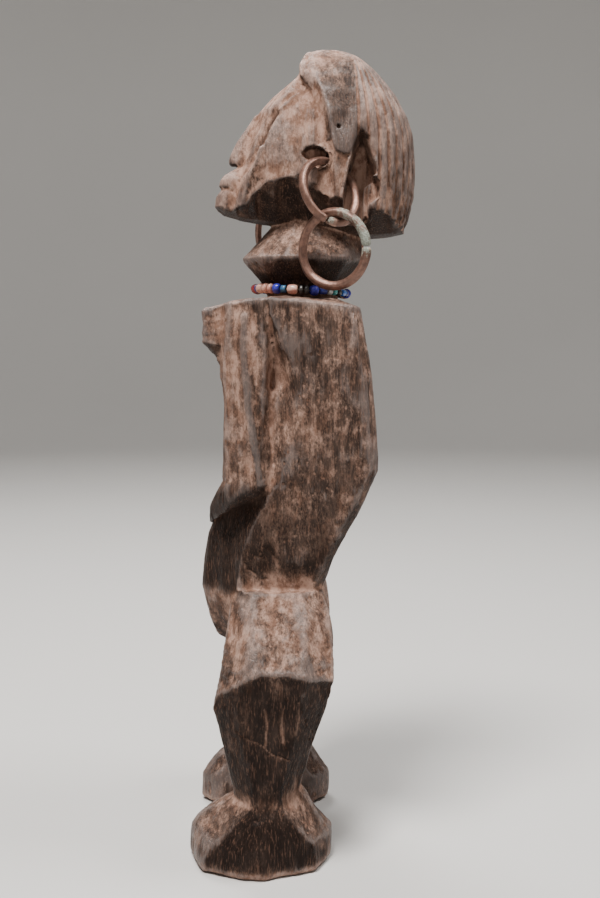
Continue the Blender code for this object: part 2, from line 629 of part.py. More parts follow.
main()
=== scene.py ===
"""The carved standing figure round its CAD frame: worn wood, copper ear rings and a string of old
glass beads, on a pale studio floor.

It is laid out as an add-on and run as a script. Places on the wood are given on the carving's own
grid: 770 steps from the soles to the crown, x to the figure's left, y to its back, z up.
"""

import math

import bmesh
import bpy
import numpy as np
from mathutils import Matrix, Vector, noise
from mathutils.bvhtree import BVHTree


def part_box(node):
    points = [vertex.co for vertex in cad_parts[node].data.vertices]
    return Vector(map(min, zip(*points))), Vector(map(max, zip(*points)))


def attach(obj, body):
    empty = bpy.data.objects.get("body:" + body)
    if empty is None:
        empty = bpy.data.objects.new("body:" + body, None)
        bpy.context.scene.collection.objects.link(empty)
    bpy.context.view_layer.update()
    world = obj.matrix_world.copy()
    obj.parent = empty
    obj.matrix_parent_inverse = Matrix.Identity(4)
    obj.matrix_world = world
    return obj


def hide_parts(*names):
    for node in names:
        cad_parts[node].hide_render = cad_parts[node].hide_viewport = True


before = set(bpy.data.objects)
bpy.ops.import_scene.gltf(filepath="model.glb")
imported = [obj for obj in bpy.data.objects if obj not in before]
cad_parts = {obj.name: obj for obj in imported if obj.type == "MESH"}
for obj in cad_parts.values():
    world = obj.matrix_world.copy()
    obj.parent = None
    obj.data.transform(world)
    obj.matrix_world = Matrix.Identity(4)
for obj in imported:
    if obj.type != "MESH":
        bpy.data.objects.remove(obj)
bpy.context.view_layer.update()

bl_info = {
    "name": "Carved Figure",
    "version": (1, 0, 0),
    "blender": (4, 5, 0),
    "location": "View3D > Sidebar > Figure",
    "description": "Builds a worn carved figure with copper ear rings and glass beads",
    "category": "Object",
}

GRID = 770
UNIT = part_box("figure")[1].z / GRID

# The hair's outline on the carving's grid, as (height, half width, back edge).
HAIR_SHAPE = ((572, 60, 96), (607, 64, 105), (645, 66, 109), (683, 63, 108), (702, 60, 102),
              (722, 54, 91), (738, 46, 79), (750, 38, 67), (759, 29, 56), (765, 20, 46), (768, 12, 38))
HAIR_CENTRE = 46
FLUTE_START_DEG = 5
FLUTE_PITCH_DEG = 85 / 9

# Lines on the sides of the head, as (y, z) places: from the top down the hair's front ridge and the
# ridge between face and cheek, and from front to back the edge of the jaw.
PANEL_RIDGE = ((6, 745), (10, 735), (16, 721), (21, 705), (24, 687), (28, 664), (31, 640), (32, 610))
CHEEK_RIDGE = ((-6, 723), (-18, 712), (-29, 698), (-33, 689), (-38, 680), (-41, 671), (-45, 660),
               (-49, 650), (-54, 643), (-55, 633), (-58, 623), (-63, 612))
JAW_EDGE = ((-84, 609), (-58, 612), (-52, 622), (-36, 635), (-13, 639), (16, 621), (33, 608))

# The round lower end of the smooth panel of hair over the ear: its middle's y and z, half its width
# and half its height.
PANEL_END = (39, 675, 13, 14)

# Marks on the left side, as (y, z) places along each.
EYE_CUT = ((-26, 703), (-32, 695), (-37, 685), (-42, 673))
ARM_RIDGE = ((-56, 505), (-56, 471), (-53, 440), (-52, 424), (-47, 390), (-43, 361), (-40, 350))
KNEE_CRACK = ((-62, 131), (-51, 123), (-43, 121), (-36, 116), (-30, 110), (-22, 107), (-15, 104))
SHIN_SPLITS = (((-36, 152), (-34, 138), (-36, 118)), ((-6, 158), (-5, 144), (-8, 128)),
               ((-20, 150), (-21, 136), (-20, 121)))
BELLY_CUTS = (((-40, 290), (-33, 286), (-29, 279), (-24, 270)), ((-57, 274), (-54, 266)),
              ((-53, 268), (-47, 264)), ((-43, 281), (-38, 277)), ((-41, 259), (-36, 257)))
PIN_HOLE = (32, 686)

# Edges on both sides of the body, as (y, z) places from front to back: the arch over the shin, the
# shelf on top of the forearm, and the middle of the shade below it.
KNEE_EDGE = ((-81, 158), (-67, 168), (-56, 177), (-40, 184), (-15, 184), (0, 181), (13, 176), (26, 171))
FOREARM_TOP = ((-93, 318), (-60, 332), (-36, 352))
FOREARM_SHADE = ((-93, 308), (-60, 330), (-36, 352))

# The planes cut down the side of the thigh, as (y at the knee, half width, depth), how far they lean
# forward for each step up, and the y of the two ridges between them.
THIGH_PLANES = ((-62, 12, 1.3), (-21, 15, 1.7), (20, 11, 1.4))
THIGH_LEAN = 0.25
THIGH_RIDGES = (-46, 3)

# The dark wedge on the side of the foot: half its width at the sole and at the ankle, as
# (height, half width), round its middle.
INSTEP = ((12, 56), (62, 12))
INSTEP_MIDDLE = -36

# A hoop is spun from a bar of radius 1 at this reach, then shaped.
HOOP_REACH = 10
WIRE_SIDES, WIRE_STEPS = 20, 150
WIRE_SQUARENESS = 0.07
PLY_SIDES, PLY_STEPS, PLY_TURNS = 10, 720, 90
THREAD_RADIUS = 0.00027
BEAD_BORE = 0.0006
BEAD_STEPS = 28

# Where the wire's top runs through each ear, on the carving's grid, and the turn and lean in degrees.
LEFT_RING_HANG = ((53.5, 17.5, 654), 28, 23)
RIGHT_RING_HANG = ((-46, 1, 651), 12, 15)
LINK_TURN_DEG = -25
LINK_SPARE = 0.0003
LINK_FORWARD = 0.001

# The photo's height in pixels, and the eye that took it: how far off and how high it is in steps of
# the grid, and how far the middle of the picture is from the level ahead of the eye, in pixels.
PHOTO_TALL = 898
EYE_AWAY = 1130
EYE_HEIGHT = 490
EYE_SHIFT = (-5, -116)

# The soft lights of the stage: (name, place, point that it faces, colour).
LIGHT_SIZE = 0.36
LIGHTS = (("key", (0.44, -0.22, 1.35), (0, 0, 0.2), (1.0, 0.965, 0.93)),
          ("back", (0.05, 0.62, 1.2), (0, 0, 0.22), (1.0, 0.98, 0.96)),
          ("far", (-0.62, -0.25, 1.1), (0, 0, 0.2), (1.0, 0.98, 0.96)))


# ---------------------------------------------------------------- plain helpers

def colour(name, about, value):
    """A colour that a user can change."""
    return bpy.props.FloatVectorProperty(name=name, description=about, subtype="COLOR", size=3,
                                         min=0.0, max=1.0, default=value)


def length(name, about, value):
    """A length in metres that a user can change."""
    return bpy.props.FloatProperty(name=name, description=about, subtype="DISTANCE", unit="LENGTH",
                                   precision=5, min=0.0, default=value)


def share(name, about, value, most=1.0):
    """A plain number that a user can change."""
    return bpy.props.FloatProperty(name=name, description=about, min=0.0, max=most, default=value)


def new_piece(name, mesh):
    """A new object for finished mesh data."""
    piece = bpy.data.objects.new(name, mesh)
    bpy.context.scene.collection.objects.link(piece)
    return piece


def keep_mesh(name, work):
    """Mesh data from a bmesh."""
    data = bpy.data.meshes.new(name)
    work.to_mesh(data)
    work.free()
    return data


def outward(work):
    """Turns the faces of a closed shell outward."""
    bmesh.ops.recalc_face_normals(work, faces=work.faces)
    if work.calc_volume(signed=True) < 0:
        bmesh.ops.reverse_faces(work, faces=work.faces)


def merged(work, dist):
    """Merges points that lie together, and turns the faces outward."""
    bmesh.ops.remove_doubles(work, verts=work.verts, dist=dist)
    outward(work)


def hoop(sides, steps, turn_deg):
    """A round bar of radius 1 bent round the z axis, open unless it turns right round."""
    work = bmesh.new()
    section = bmesh.ops.create_circle(work, segments=sides, radius=1)["verts"]
    upright = Matrix.Rotation(math.pi / 2, 3, "X")
    bmesh.ops.rotate(work, verts=section, cent=(0, 0, 0), matrix=upright)
    bmesh.ops.translate(work, verts=section, vec=(HOOP_REACH, 0, 0))
    bmesh.ops.spin(work, geom=section + list(work.edges), cent=(0, 0, 0), axis=(0, 0, 1),
                   steps=steps, angle=math.radians(turn_deg), use_merge=turn_deg == 360)
    return work


def applied(piece):
    """Applies the modifiers of a piece to its mesh."""
    bpy.context.view_layer.update()
    graph = bpy.context.evaluated_depsgraph_get()
    data = bpy.data.meshes.new_from_object(piece.evaluated_get(graph))
    piece.modifiers.clear()
    piece.data = data
    return data


def rise(value, low, high):
    """0 below low, 1 above high and a smooth rise between them."""
    t = np.clip((value - low) / (high - low), 0, 1)
    return t * t * (3 - 2 * t)


def between(value, low, full, fade, high):
    """0 below low, 1 from full to fade and 0 above high."""
    return rise(value, low, full) * (1 - rise(value, fade, high))


def bump(value, middle, half):
    """1 at the middle, falling smoothly to 0 at half away from it."""
    return 1 - rise(np.abs(value - middle), 0, half)


def lumps(places, size, stretch=1.0, seed=0.0):
    """Smooth noise from -1 to 1 with lumps of a size, drawn out along the grain."""
    spots = places / np.array((size, size, size * stretch)) + seed * 7.31
    return np.array([noise.noise(spot) for spot in spots.tolist()])


def cells(places, size, stretch=(1, 1, 1), seed=0.0):
    """Distance to the nearest and second nearest of scattered points, in shares of their spacing."""
    spots = places / (np.array(stretch) * size) + seed * 5.17
    pairs = [noise.voronoi(spot)[0][:2] for spot in spots.tolist()]
    return np.array(pairs).T


def off_line(y, z, line):
    """How far each place is from a line through (y, z) points."""
    best = np.full(len(y), 1e9)
    for (y0, z0), (y1, z1) in zip(line, line[1:]):
        dy, dz = y1 - y0, z1 - z0
        t = np.clip(((y - y0) * dy + (z - z0) * dz) / (dy * dy + dz * dz), 0, 1)
        best = np.minimum(best, np.hypot(y - y0 - t * dy, z - z0 - t * dz))
    return best


def near_line(y, z, line, half):
    """1 on a line, falling straight to 0 at half away from it."""
    return np.clip(1 - off_line(y, z, line) / half, 0, 1)


def y_on(line, z):
    """The y of a line given from the top down, at each height."""
    return np.interp(z, [point[1] for point in reversed(line)], [point[0] for point in reversed(line)])


def z_on(line, y):
    """The height of a line given from front to back, at each y."""
    return np.interp(y, [point[0] for point in line], [point[1] for point in line])


def table_at(table, column, z):
    """A column of a table of heights, at each height."""
    rows = np.array(table, float)
    return np.interp(z, rows[:, 0], rows[:, column])


# ---------------------------------------------------------------- the wood

def mesh_arrays(data):
    """Places and normals of a mesh's points."""
    places = np.empty(len(data.vertices) * 3)
    data.vertices.foreach_get("co", places)
    normals = np.empty(len(data.vertices) * 3)
    data.vertex_normals.foreach_get("vector", normals)
    return places.reshape(-1, 3), normals.reshape(-1, 3)


def blurred(values, links, rounds):
    """Values at a mesh's points, evened out with their neighbours."""
    one, two = links
    count = len(values)
    degree = np.bincount(one, minlength=count) + np.bincount(two, minlength=count)
    for _ in range(rounds):
        total = np.empty_like(values)
        for k in range(values.shape[1]):
            column = values[:, k]
            total[:, k] = np.bincount(one, column[two], count) + np.bincount(two, column[one], count)
        values = 0.4 * values + 0.6 * total / degree[:, None]
    return values


def mesh_links(data):
    """The two end points of every edge."""
    ends = np.empty(len(data.edges) * 2, np.int64)
    data.edges.foreach_get("vertices", ends)
    return ends[0::2], ends[1::2]


def hair_turn(x, y, z):
    """How many flutes each place is round from the side of the hair, and 1 at the hair's outer face."""
    width, back = table_at(HAIR_SHAPE, 1, z), table_at(HAIR_SHAPE, 2, z)
    centre = np.minimum(HAIR_CENTRE, back - 14)
    across, along = np.abs(x) / width, (y - centre) / (back - centre)
    turn = (np.degrees(np.arctan2(along, across)) - FLUTE_START_DEG) / FLUTE_PITCH_DEG
    return turn, rise(np.hypot(across, along), 0.86, 0.94)


def past_panel(y, z):
    """How far each place is outside the round end of the smooth panel, in shares of its size."""
    middle, height, half_wide, half_tall = PANEL_END
    return np.hypot((y - middle) / half_wide, (z - height) / half_tall) - 1


def smooth_panel(y, z, turn):
    """1 on the smooth panel of hair over the ear, 0 elsewhere."""
    inside = np.where(z > PANEL_END[1], 1.0, 1 - rise(past_panel(y, z), -0.1, 0.15))
    inside *= rise(y - y_on(PANEL_RIDGE, z), -1, 2) * (1 - rise(turn, -0.3, 0.0)) * rise(z, 655, 664)
    return inside * (1 - rise(z, 742, 756))


def flute_cut(places, turn):
    """1 along the bottom of each flute, 0 on the ribs between them."""
    off = np.abs(turn - np.round(turn) + 0.06 * lumps(places, 9, 3, 5))
    return np.clip(1 - off / 0.19, 0, 1)


def flutes(places, hair, turn, z):
    """The hair's flutes: narrow cuts with rounded ribs between, worn and pitted towards the nape."""
    sound = rise(z, 590, 670)
    depth = flute_cut(places, turn) * (3.0 * sound + 0.9 * (1 - sound)) - 0.5 * sound
    lower = 1 - rise(z, 610, 705)
    near, _ = cells(places, 4.6, (1, 1, 2.1), 6)
    depth += lower * 2.3 * np.clip(0.58 - near, 0, 1) * rise(lumps(places, 20, 1, 7), -0.45, 0.2)
    depth += lower * 1.5 * np.clip(lumps(places, 2.7, 6, 8), -0.2, 1)
    ragged = (1 - rise(z, 586, 610)) * rise(lumps(places, 8, 1.5, 9), -0.1, 0.25)
    return hair * (depth + 4.5 * ragged * lower)


def head_marks(places, normals, y, z):
    """The ridges, the panel over the ear post and the cuts on both sides of the head."""
    side = rise(np.abs(normals[:, 0]), 0.3, 0.6)

    # The post below the panel and the plane before it lie deeper than the panel, with a ridge between.
    ridge = y_on(PANEL_RIDGE, z)
    front = between(z, 602, 612, 742, 752) * side * rise(y, 8, 14)
    plane = 0.34 * np.clip(ridge - y, 0, 9)
    post = rise(PANEL_END[1] + 4 - z, 0, 8) * (z > 596) * (y > 12) * (y < 60) * side
    depth = np.maximum(plane * front, 3.0 * post * rise(past_panel(y, z), 0, 0.22))
    depth -= 1.0 * front * bump(y, ridge + 1, 3.5) * rise(z, 655, 668)
    depth += 1.6 * (bump(y, 38, 16) * between(z, 668, 690, 725, 745) * side)

    # The ridge between face and cheek, the trough before it and the cut of the eye.
    ahead = y_on(CHEEK_RIDGE, z) - y
    face = between(z, 606, 616, 716, 726) * (y < 5)
    depth -= 1.4 * near_line(y, z, CHEEK_RIDGE, 3.2) * face
    depth += 2.6 * bump(ahead, 5.5, 5) * face * rise(z, 640, 665)
    depth += 6.0 * near_line(y, z, EYE_CUT, 4.2) * (y < -18)

    # The rolled edge of the jaw, and the slit between the lips.
    jaw = z_on(JAW_EDGE, y)
    low = (y > -80) * (y < 34) * rise(z, 590, 600)
    depth -= 0.9 * low * bump(z, jaw + 1.5, 4)
    depth += 0.7 * low * bump(z, jaw - 6, 6)
    depth += 1.3 * np.clip(1 - np.abs(z - 632) / 2.0, 0, 1) * (y < -74) * (np.abs(places[:, 0]) < 26)
    return depth * (z > 588)


def wood_marks(places, normals, marks):
    """How deep each place on the wood is cut, in grid steps."""
    x, y, z = places.T
    out = np.sign(x) * normals[:, 0]
    left = rise(normals[:, 0], 0.15, 0.5) * (x > 0)
    head = rise(z, 585, 592)
    turn, outer = hair_turn(x, y, z)
    under = rise(-normals[:, 2], 0.55, 0.8)
    hair = rise(z, 570, 585) * rise(turn, -0.35, -0.1) * (1 - under) * outer
    body = 1 - rise(z, 520, 545)
    depth = np.zeros(len(places))

    # Long scoops of the adze, with worn ridges between them, and crosswise knife cuts.
    near, _ = cells(places, 19, (1, 1, 2.3), 1)
    scoops = np.clip(1 - near * near / 0.42, -0.3, 1)
    depth += marks * 1.7 * scoops * (0.3 + 0.7 * body) * (1 - 0.85 * hair)
    flat, _ = cells(places, 9, (1.9, 1.9, 0.6), 2)
    chest = rise(z, 415, 440) * (1 - rise(y, -84, -70)) * body
    knees = bump(z, 180, 55) * rise(np.abs(y + 26), 22, 42)
    knife = np.clip(chest + knees + 0.12 * body, 0, 1)
    depth += marks * 1.5 * np.clip(1 - flat * flat / 0.4, -0.3, 1) * knife

    # Grain stands proud where the softer wood has worn away.
    shin = (1 - rise(z, 165, 182)) * rise(out, 0.6, 0.9)
    fibrous = 0.55 + 1.3 * shin + 0.4 * bump(y, 60, 40) * body
    depth += 0.50 * fibrous * lumps(places, 1.9, 12, 3) * (1 - 0.4 * hair)
    depth += 0.30 * lumps(places, 4.6, 5, 14) * (1 - 0.5 * head)
    depth += 0.9 * lumps(places, 21, 1.6, 4) * (1 - 0.6 * head)
    temple = head * bump(y, 2, 16) * rise(z, 640, 660)
    depth += 0.9 * temple * lumps(places, 2.6, 20, 15)
    depth += flutes(places, hair, turn, z) + head_marks(places, normals, y, z)

    # Pits and open pores, thickest in the hollow parts.
    near, _ = cells(places, 6.0, (1, 1, 1.5), 10)
    worn = rise(lumps(places, 30, 1, 11), -0.1, 0.35)
    depth += 1.3 * rise(0.25 - near, 0, 0.16) * worn * (1 - 0.7 * hair) * (1 - smooth_panel(y, z, turn))

    # The arm's ridge, the planes cut down the thigh, and the arched edge above the shin.
    beside_arm = bump(off_line(y, z, ARM_RIDGE), 9, 5)
    arm = 2.2 * near_line(y, z, ARM_RIDGE, 4.5) - 0.8 * beside_arm
    depth -= arm * rise(out, 0.2, 0.5) * body
    thigh = between(z, 184, 194, 236, 250) * rise(out, 0.4, 0.7)
    for middle, half, deep in THIGH_PLANES:
        depth += deep * thigh * bump(y + THIGH_LEAN * (z - 180), middle, half)
    knee = z_on(KNEE_EDGE, y)
    depth -= 0.6 * bump(z, knee + 1.5, 5) * rise(out, 0.35, 0.65)
    depth += 0.8 * bump(z, knee - 9, 9) * rise(out, 0.35, 0.65)

    # The pin hole, the cracks in the left shin and the cuts on the left of the belly.
    depth += 6 * np.clip(1 - np.hypot(y - PIN_HOLE[0], z - PIN_HOLE[1]) / 2.6, 0, 1) * left
    stray_y, stray_z = y + 1.6 * lumps(places, 6, 1, 12), z + 1.6 * lumps(places, 6, 1, 13)
    depth += 1.3 * near_line(stray_y, stray_z, KNEE_CRACK, 1.3) * left
    for line in SHIN_SPLITS:
        depth += 1.4 * near_line(stray_y, z, line, 1.6) * left
    for line in BELLY_CUTS:
        depth += 1.0 * near_line(stray_y, stray_z, line, 1.5) * left
    return depth


def softened(places, links):
    """Rounds the forms that the carver blended: the armpits, the forearms' tops and the feet."""
    x, y, z = (places / UNIT).T
    side = np.abs(x)
    armpit = between(y, -34, -22, 22, 40) * between(z, 372, 400, 488, 504)
    elbow = between(z, 347, 356, 384, 402) * rise(side, 52, 62) * (1 - rise(y, -48, -38))
    shelf = bump(z, z_on(FOREARM_TOP, y), 18) * (side > 40) * rise(-y, 34, 42)
    sole = between(z, 0.5, 3, 16, 34)
    foot = between(z, 1.5, 9, 46, 60)
    hip = between(z, 226, 236, 262, 276) * (1 - rise(y, -40, -14))
    hair = rise(z, 655, 668) * rise(y, 20, 30)
    notch = between(z, 596, 606, 664, 676) * bump(y, 58, 16) * (side > 36)
    slot_top = between(z, 652, 664, 696, 706) * bump(y, 58, 20) * (side > 30)
    much = np.clip(armpit * (side > 40) + elbow + 0.8 * shelf + slot_top, 0, 1)[:, None]
    some = np.clip(0.30 * foot + 0.7 * sole + 0.8 * hip + 0.8 * hair + 0.8 * notch, 0, 1)[:, None]
    light = blurred(places, links, 26)
    places = places + (light - places) * some
    return places + (blurred(places, links, 90) - places) * much


def carved_wood(voxel, marks, most):
    """The wood: the CAD solid remeshed finely, cut with every mark and thinned on flat places."""
    work = bmesh.new()
    work.from_mesh(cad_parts["figure"].data)
    bmesh.ops.remove_doubles(work, verts=work.verts, dist=0.00002)
    piece = new_piece("carved_figure", keep_mesh("carved_figure", work))
    remesh = piece.modifiers.new("remesh", "REMESH")
    remesh.mode, remesh.voxel_size = "VOXEL", voxel
    data = applied(piece)

    links = mesh_links(data)
    places = softened(blurred(mesh_arrays(data)[0], links, 1), links)
    data.vertices.foreach_set("co", places.ravel())
    data.update()
    places, normals = mesh_arrays(data)
    places = places - normals * (wood_marks(places / UNIT, normals, marks) * UNIT)[:, None]
    places = 0.7 * places + 0.3 * blurred(places, links, 1)
    places[:, 2] = np.maximum(places[:, 2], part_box("figure")[0].z)
    data.vertices.foreach_set("co", places.ravel())
    data.update()

    thin = piece.modifiers.new("thin", "DECIMATE")
    thin.ratio = min(1.0, most / sum(len(face.vertices) - 2 for face in data.polygons))
    data = applied(piece)
    data.shade_smooth()
    return piece


def openness(places, normals, data, reach, rays=14):
    """How much of the half space over each point is free within reach, from 0 to 1."""
    tree = BVHTree.FromPolygons([v.co for v in data.vertices], [p.vertices for p in data.polygons])
    golden = math.pi * (3 - math.sqrt(5))
    spread = []
    for i in range(rays):
        up = 1 - (i + 0.5) / rays * 0.9
        flat = math.sqrt(1 - up * up)
        spread.append(Vector((flat * math.cos(i * golden), flat * math.sin(i * golden), up)))
    free = np.empty(len(places))
    for i, (place, normal) in enumerate(zip(places.tolist(), normals.tolist())):
        axis = Vector(normal)
        turn = axis.to_track_quat("Z", "Y")
        start = Vector(place) + axis * 0.0002
        free[i] = sum(tree.ray_cast(start, turn @ ray, reach)[0] is None for ray in spread) / rays
    return free


def paint_wood(piece):
    """Writes where dust lies, where handling has polished the wood and painted sheen lies on its
    ridges, and where it is sooty or darkened with painted shade.
    """
    data = piece.data
    places, normals = mesh_arrays(data)
    links = mesh_links(data)
    fine = ((places - blurred(places, links, 4)) * normals).sum(1) / UNIT
    broad = ((places - blurred(places, links, 24)) * normals).sum(1) / UNIT
    # How closed in each point is: dust gathers in the hollows, and they are darkened with painted shade
    # as well.
    hidden = 1 - openness(places, normals, data, 0.012)
    hidden = blurred(hidden[:, None], links, 2)[:, 0]
    grid = places / UNIT
    x, y, z = grid.T
    side, up, out = np.abs(x), normals[:, 2], np.sign(x) * normals[:, 0]
    patches = lumps(grid, 30, 1.6, 21) + 0.6 * lumps(grid, 11, 1.5, 22) + 0.3 * lumps(grid, 4, 1.6, 23)

    # The head: hair and its flutes, the panel over the ear, the face, the post and the underside.
    turn, outer = hair_turn(x, y, z)
    hair = rise(z, 570, 585) * rise(turn, -0.3, 0.05) * outer
    cut = flute_cut(grid, turn) * hair
    panel = smooth_panel(y, z, turn)
    face = rise(z, 596, 612) * (1 - rise(y, 8, 22)) * rise(up, -0.45, 0.0)
    cheek = rise(z, 604, 640) * (1 - rise(y, 12, 30)) * rise(up, -0.3, 0.05)
    # Painted shade along the cut of the eye.
    eye = near_line(y, z, EYE_CUT, 4.0) * face
    post = (z < 664) * (z > 596) * (y > 12) * (y < 58) * rise(out, 0.3, 0.6) * (1 - panel)
    # Painted shade under the head: the underside below the jaw's edge turns near black.
    under = rise(z_on(JAW_EDGE, y) - z, -2, 7) * rise(z, 585, 596) * (1 - rise(y, 20, 36))
    under *= rise(-up, 0.05, 0.3)

    # The neck, arms and trunk.
    cone_front = between(z, 545, 552, 575, 582) * rise(-y, 20, 40)
    # Painted highlight along the ridge round the neck's cone.
    band_edge_highlight = bump(z, 560.5, 4) * (np.hypot(x, y) > 48)
    # Painted highlight along the arm's rubbed ridge, with less dust there.
    arm = (0.7 + 0.6 * (1 - rise(z, 420, 460))) * near_line(y, z, ARM_RIDGE, 4.2)
    arm *= rise(out, 0.2, 0.6) * rise(z, 345, 360)
    arm_side = between(z, 372, 400, 505, 512) * (1 - rise(y, -52, -44)) * rise(side, 40, 52)
    # Painted shade below the forearm's shelf, with less dust there.
    forearm = rise(-y, 40, 48) * rise(side, 38, 46) * bump(z, z_on(FOREARM_SHADE, y), 28)
    # Painted shade on the lower trunk, in patches, and darkest on the belly's forward plane under the
    # forearms.
    belly = rise(-normals[:, 1], 0.25, 0.5) * between(z, 236, 250, 330, 352) * rise(-y, 20, 34)
    low_torso = between(z, 256, 268, 300, 360) * rise(-y, -60, -10)

    # The legs: thighs with the edges of their planes, knees, shins with their splits, and feet.
    over_knee = z - z_on(KNEE_EDGE, y)
    thigh = rise(over_knee, -2, 4) * (1 - rise(z, 246, 266))
    # Painted highlight on the narrow rubbed ridges between the thigh's planes.
    one, two = (bump(y + THIGH_LEAN * (z - 190), ridge, 7) for ridge in THIGH_RIDGES)
    planes = thigh * rise(out, 0.4, 0.7) * np.maximum(one, two)
    near_knee = bump(over_knee, 10, 18) * rise(out, 0.3, 0.6)
    corner = rise(-y, 56, 72) * bump(z, 180, 42) * rise(side, 30, 40)
    # The shin's outer plane below the knee's arch: darker wood, darkened more with painted shade, with
    # less dust and sheen.
    shin = (1 - rise(over_knee, -6, 1)) * rise(out, 0.3, 0.7) * rise(z, 52, 70)
    inside = table_at(INSTEP, 1, z) - np.abs(y - INSTEP_MIDDLE)
    instep = between(z, 2, 12, 58, 72) * rise(inside, -1, 3) * rise(out, 0.2, 0.5)
    shin = np.maximum(shin, instep)
    lines = [near_line(y, z, line, 2.2) for line in (KNEE_CRACK, *SHIN_SPLITS)]
    split = np.maximum.reduce(lines) * (x > 0) * rise(out, 0.3, 0.6)
    foot = between(z, 4, 12, 44, 58)
    rim = 1 - rise(z, 3, 9)

    dust = 0.30 + 0.36 * patches + 0.9 * np.clip(-fine, 0, 0.5) + 0.35 * np.clip(-broad, 0, 1.2)
    dust += 0.14 * rise(up, 0.1, 0.8) + 0.28 * face + 0.20 * cheek + 0.22 * thigh + 0.12 * hair
    dust += 0.35 * post + 0.24 * arm_side + 0.5 * rim + 0.45 * cut - 0.22 * near_knee
    dust += 0.22 * hidden - 0.30 * panel - 0.3 * arm - 0.2 * shin - 0.2 * forearm + 0.40 * split
    dust -= 0.2 * corner + 0.18 * foot
    # Rubbed places, painted as grey sheen: edges and rises, the arm's ridge, the ridge round the neck's
    # cone, the ridges between the thigh's planes, the face and the smooth panel.
    wear_and_sheen = 1.0 * np.clip(fine, 0, 0.6) + 0.7 * np.clip(broad - 0.15, 0, 1) - 0.20 * patches
    wear_and_sheen += 0.26 * panel + 1.6 * arm + 0.7 * band_edge_highlight + 1.1 * planes + 0.20 * face
    wear_and_sheen += 0.2 * arm_side + 0.35 * near_knee
    wear_and_sheen += 0.25 * hair * (1 - cut) * rise(z, 640, 680) - 0.4 * shin
    # Painted shade: faces turned downward darken towards black, above the soles and less on the front
    # of the neck's cone.
    shade_and_soot = 0.95 * rise(-up, 0.10, 0.75) * rise(z, 12, 30) * (1 - 0.8 * cone_front) + 0.80 * shin
    shade_and_soot += 0.12 * panel + (0.48 + 0.3 * patches) * low_torso * (1 - belly) + 1.0 * belly
    shade_and_soot += 0.6 * forearm + 0.42 * corner + 0.12 * foot
    # Painted shade: near black under the head, darker in the hollows and along the eye's cut.
    shade_and_soot = np.maximum(shade_and_soot, 0.92 * under) + 0.30 * rise(hidden, 0.45, 0.95) + 0.8 * eye
    shade_and_soot *= (0.85 + 0.4 * lumps(grid, 14, 1.5, 24)) * (1 - 0.6 * rim) * (1 - 0.35 * split)
    write_patina_and_light(data, dust, wear_and_sheen, shade_and_soot)


def write_patina_and_light(data, *layers):
    """Keeps up to three values from 0 to 1 at each point, for the finishes: real marks together with
    painted sheen, highlight and shade.
    """
    paint = np.ones((len(data.vertices), 4), np.float32)
    for column, value in enumerate(layers):
        paint[:, column] = np.clip(value, 0, 1)
    layer = data.color_attributes.new("patina_and_light", "FLOAT_COLOR", "POINT")
    layer.data.foreach_set("color", paint.ravel())


# ---------------------------------------------------------------- finishes

def new_finish(name):
    """A material, its node tree and its shader."""
    material = bpy.data.materials.new(name)
    material.use_nodes = True
    tree = material.node_tree
    return material, tree, tree.nodes["Principled BSDF"]


def add(tree, kind, settings=None, **inputs):
    """Adds a shader node. Each input is a value or another node's output."""
    node = tree.nodes.new("ShaderNode" + kind)
    for key, value in (settings or {}).items():
        setattr(node, key, value)
    for key, value in inputs.items():
        plug(tree, node.inputs[key.replace("_", " ")], value)
    return node


def plug(tree, socket, value):
    """Links an output to a socket, or sets the socket's value."""
    if isinstance(value, bpy.types.NodeSocket):
        tree.links.new(value, socket)
    elif socket.type == "RGBA" and len(value) == 3:
        socket.default_value = (*value, 1)
    else:
        socket.default_value = value


def mixed(tree, amount, first, second, way="MIX"):
    """One colour laid over another."""
    node = tree.nodes.new("ShaderNodeMix")
    node.data_type, node.blend_type = "RGBA", way
    for index, value in ((0, amount), (6, first), (7, second)):
        plug(tree, node.inputs[index], value)
    return node.outputs[2]


def sums(tree, way, *values):
    """A Math node."""
    node = tree.nodes.new("ShaderNodeMath")
    node.operation = way
    for socket, value in zip(node.inputs, values):
        plug(tree, socket, value)
    return node.outputs[0]


def uneven(tree, value, pattern, amount):
    """A value made uneven by a pattern that runs from 0 to 1."""
    off_middle = sums(tree, "SUBTRACT", pattern, 0.5)
    return sums(tree, "ADD", value, sums(tree, "MULTIPLY", off_middle, amount))


def spread_out(tree, value, low, high, to_low=0.0, to_high=1.0):
    """A smooth rise of a value between two limits."""
    node = add(tree, "MapRange", {"interpolation_type": "SMOOTHSTEP"}, Value=value, From_Min=low,
               From_Max=high, To_Min=to_low, To_Max=to_high)
    return node.outputs[0]


def grain_places(tree, stretch):
    """Object places, squeezed so that patterns draw out along the grain."""
    spot = add(tree, "TexCoord").outputs["Object"]
    return add(tree, "Mapping", Vector=spot, Scale=stretch).outputs[0]


def speckle(tree, places, scale, detail=4.0, rough=0.6, twist=0.0):
    """A noise texture's value."""
    return add(tree, "TexNoise", Vector=places, Scale=scale, Detail=detail, Roughness=rough,
               Distortion=twist).outputs[0]


def raise_surface(tree, shader, height, strength, distance):
    """Fine relief on a finish."""
    bumps = add(tree, "Bump", Height=height, Strength=strength, Distance=distance)
    tree.links.new(bumps.outputs[0], shader.inputs["Normal"])


def patina_and_light_values(tree):
    """The three values that were written at the mesh's points."""
    patina_and_light = add(tree, "Attribute", {"attribute_name": "patina_and_light"}).outputs["Color"]
    return add(tree, "SeparateColor", Color=patina_and_light).outputs


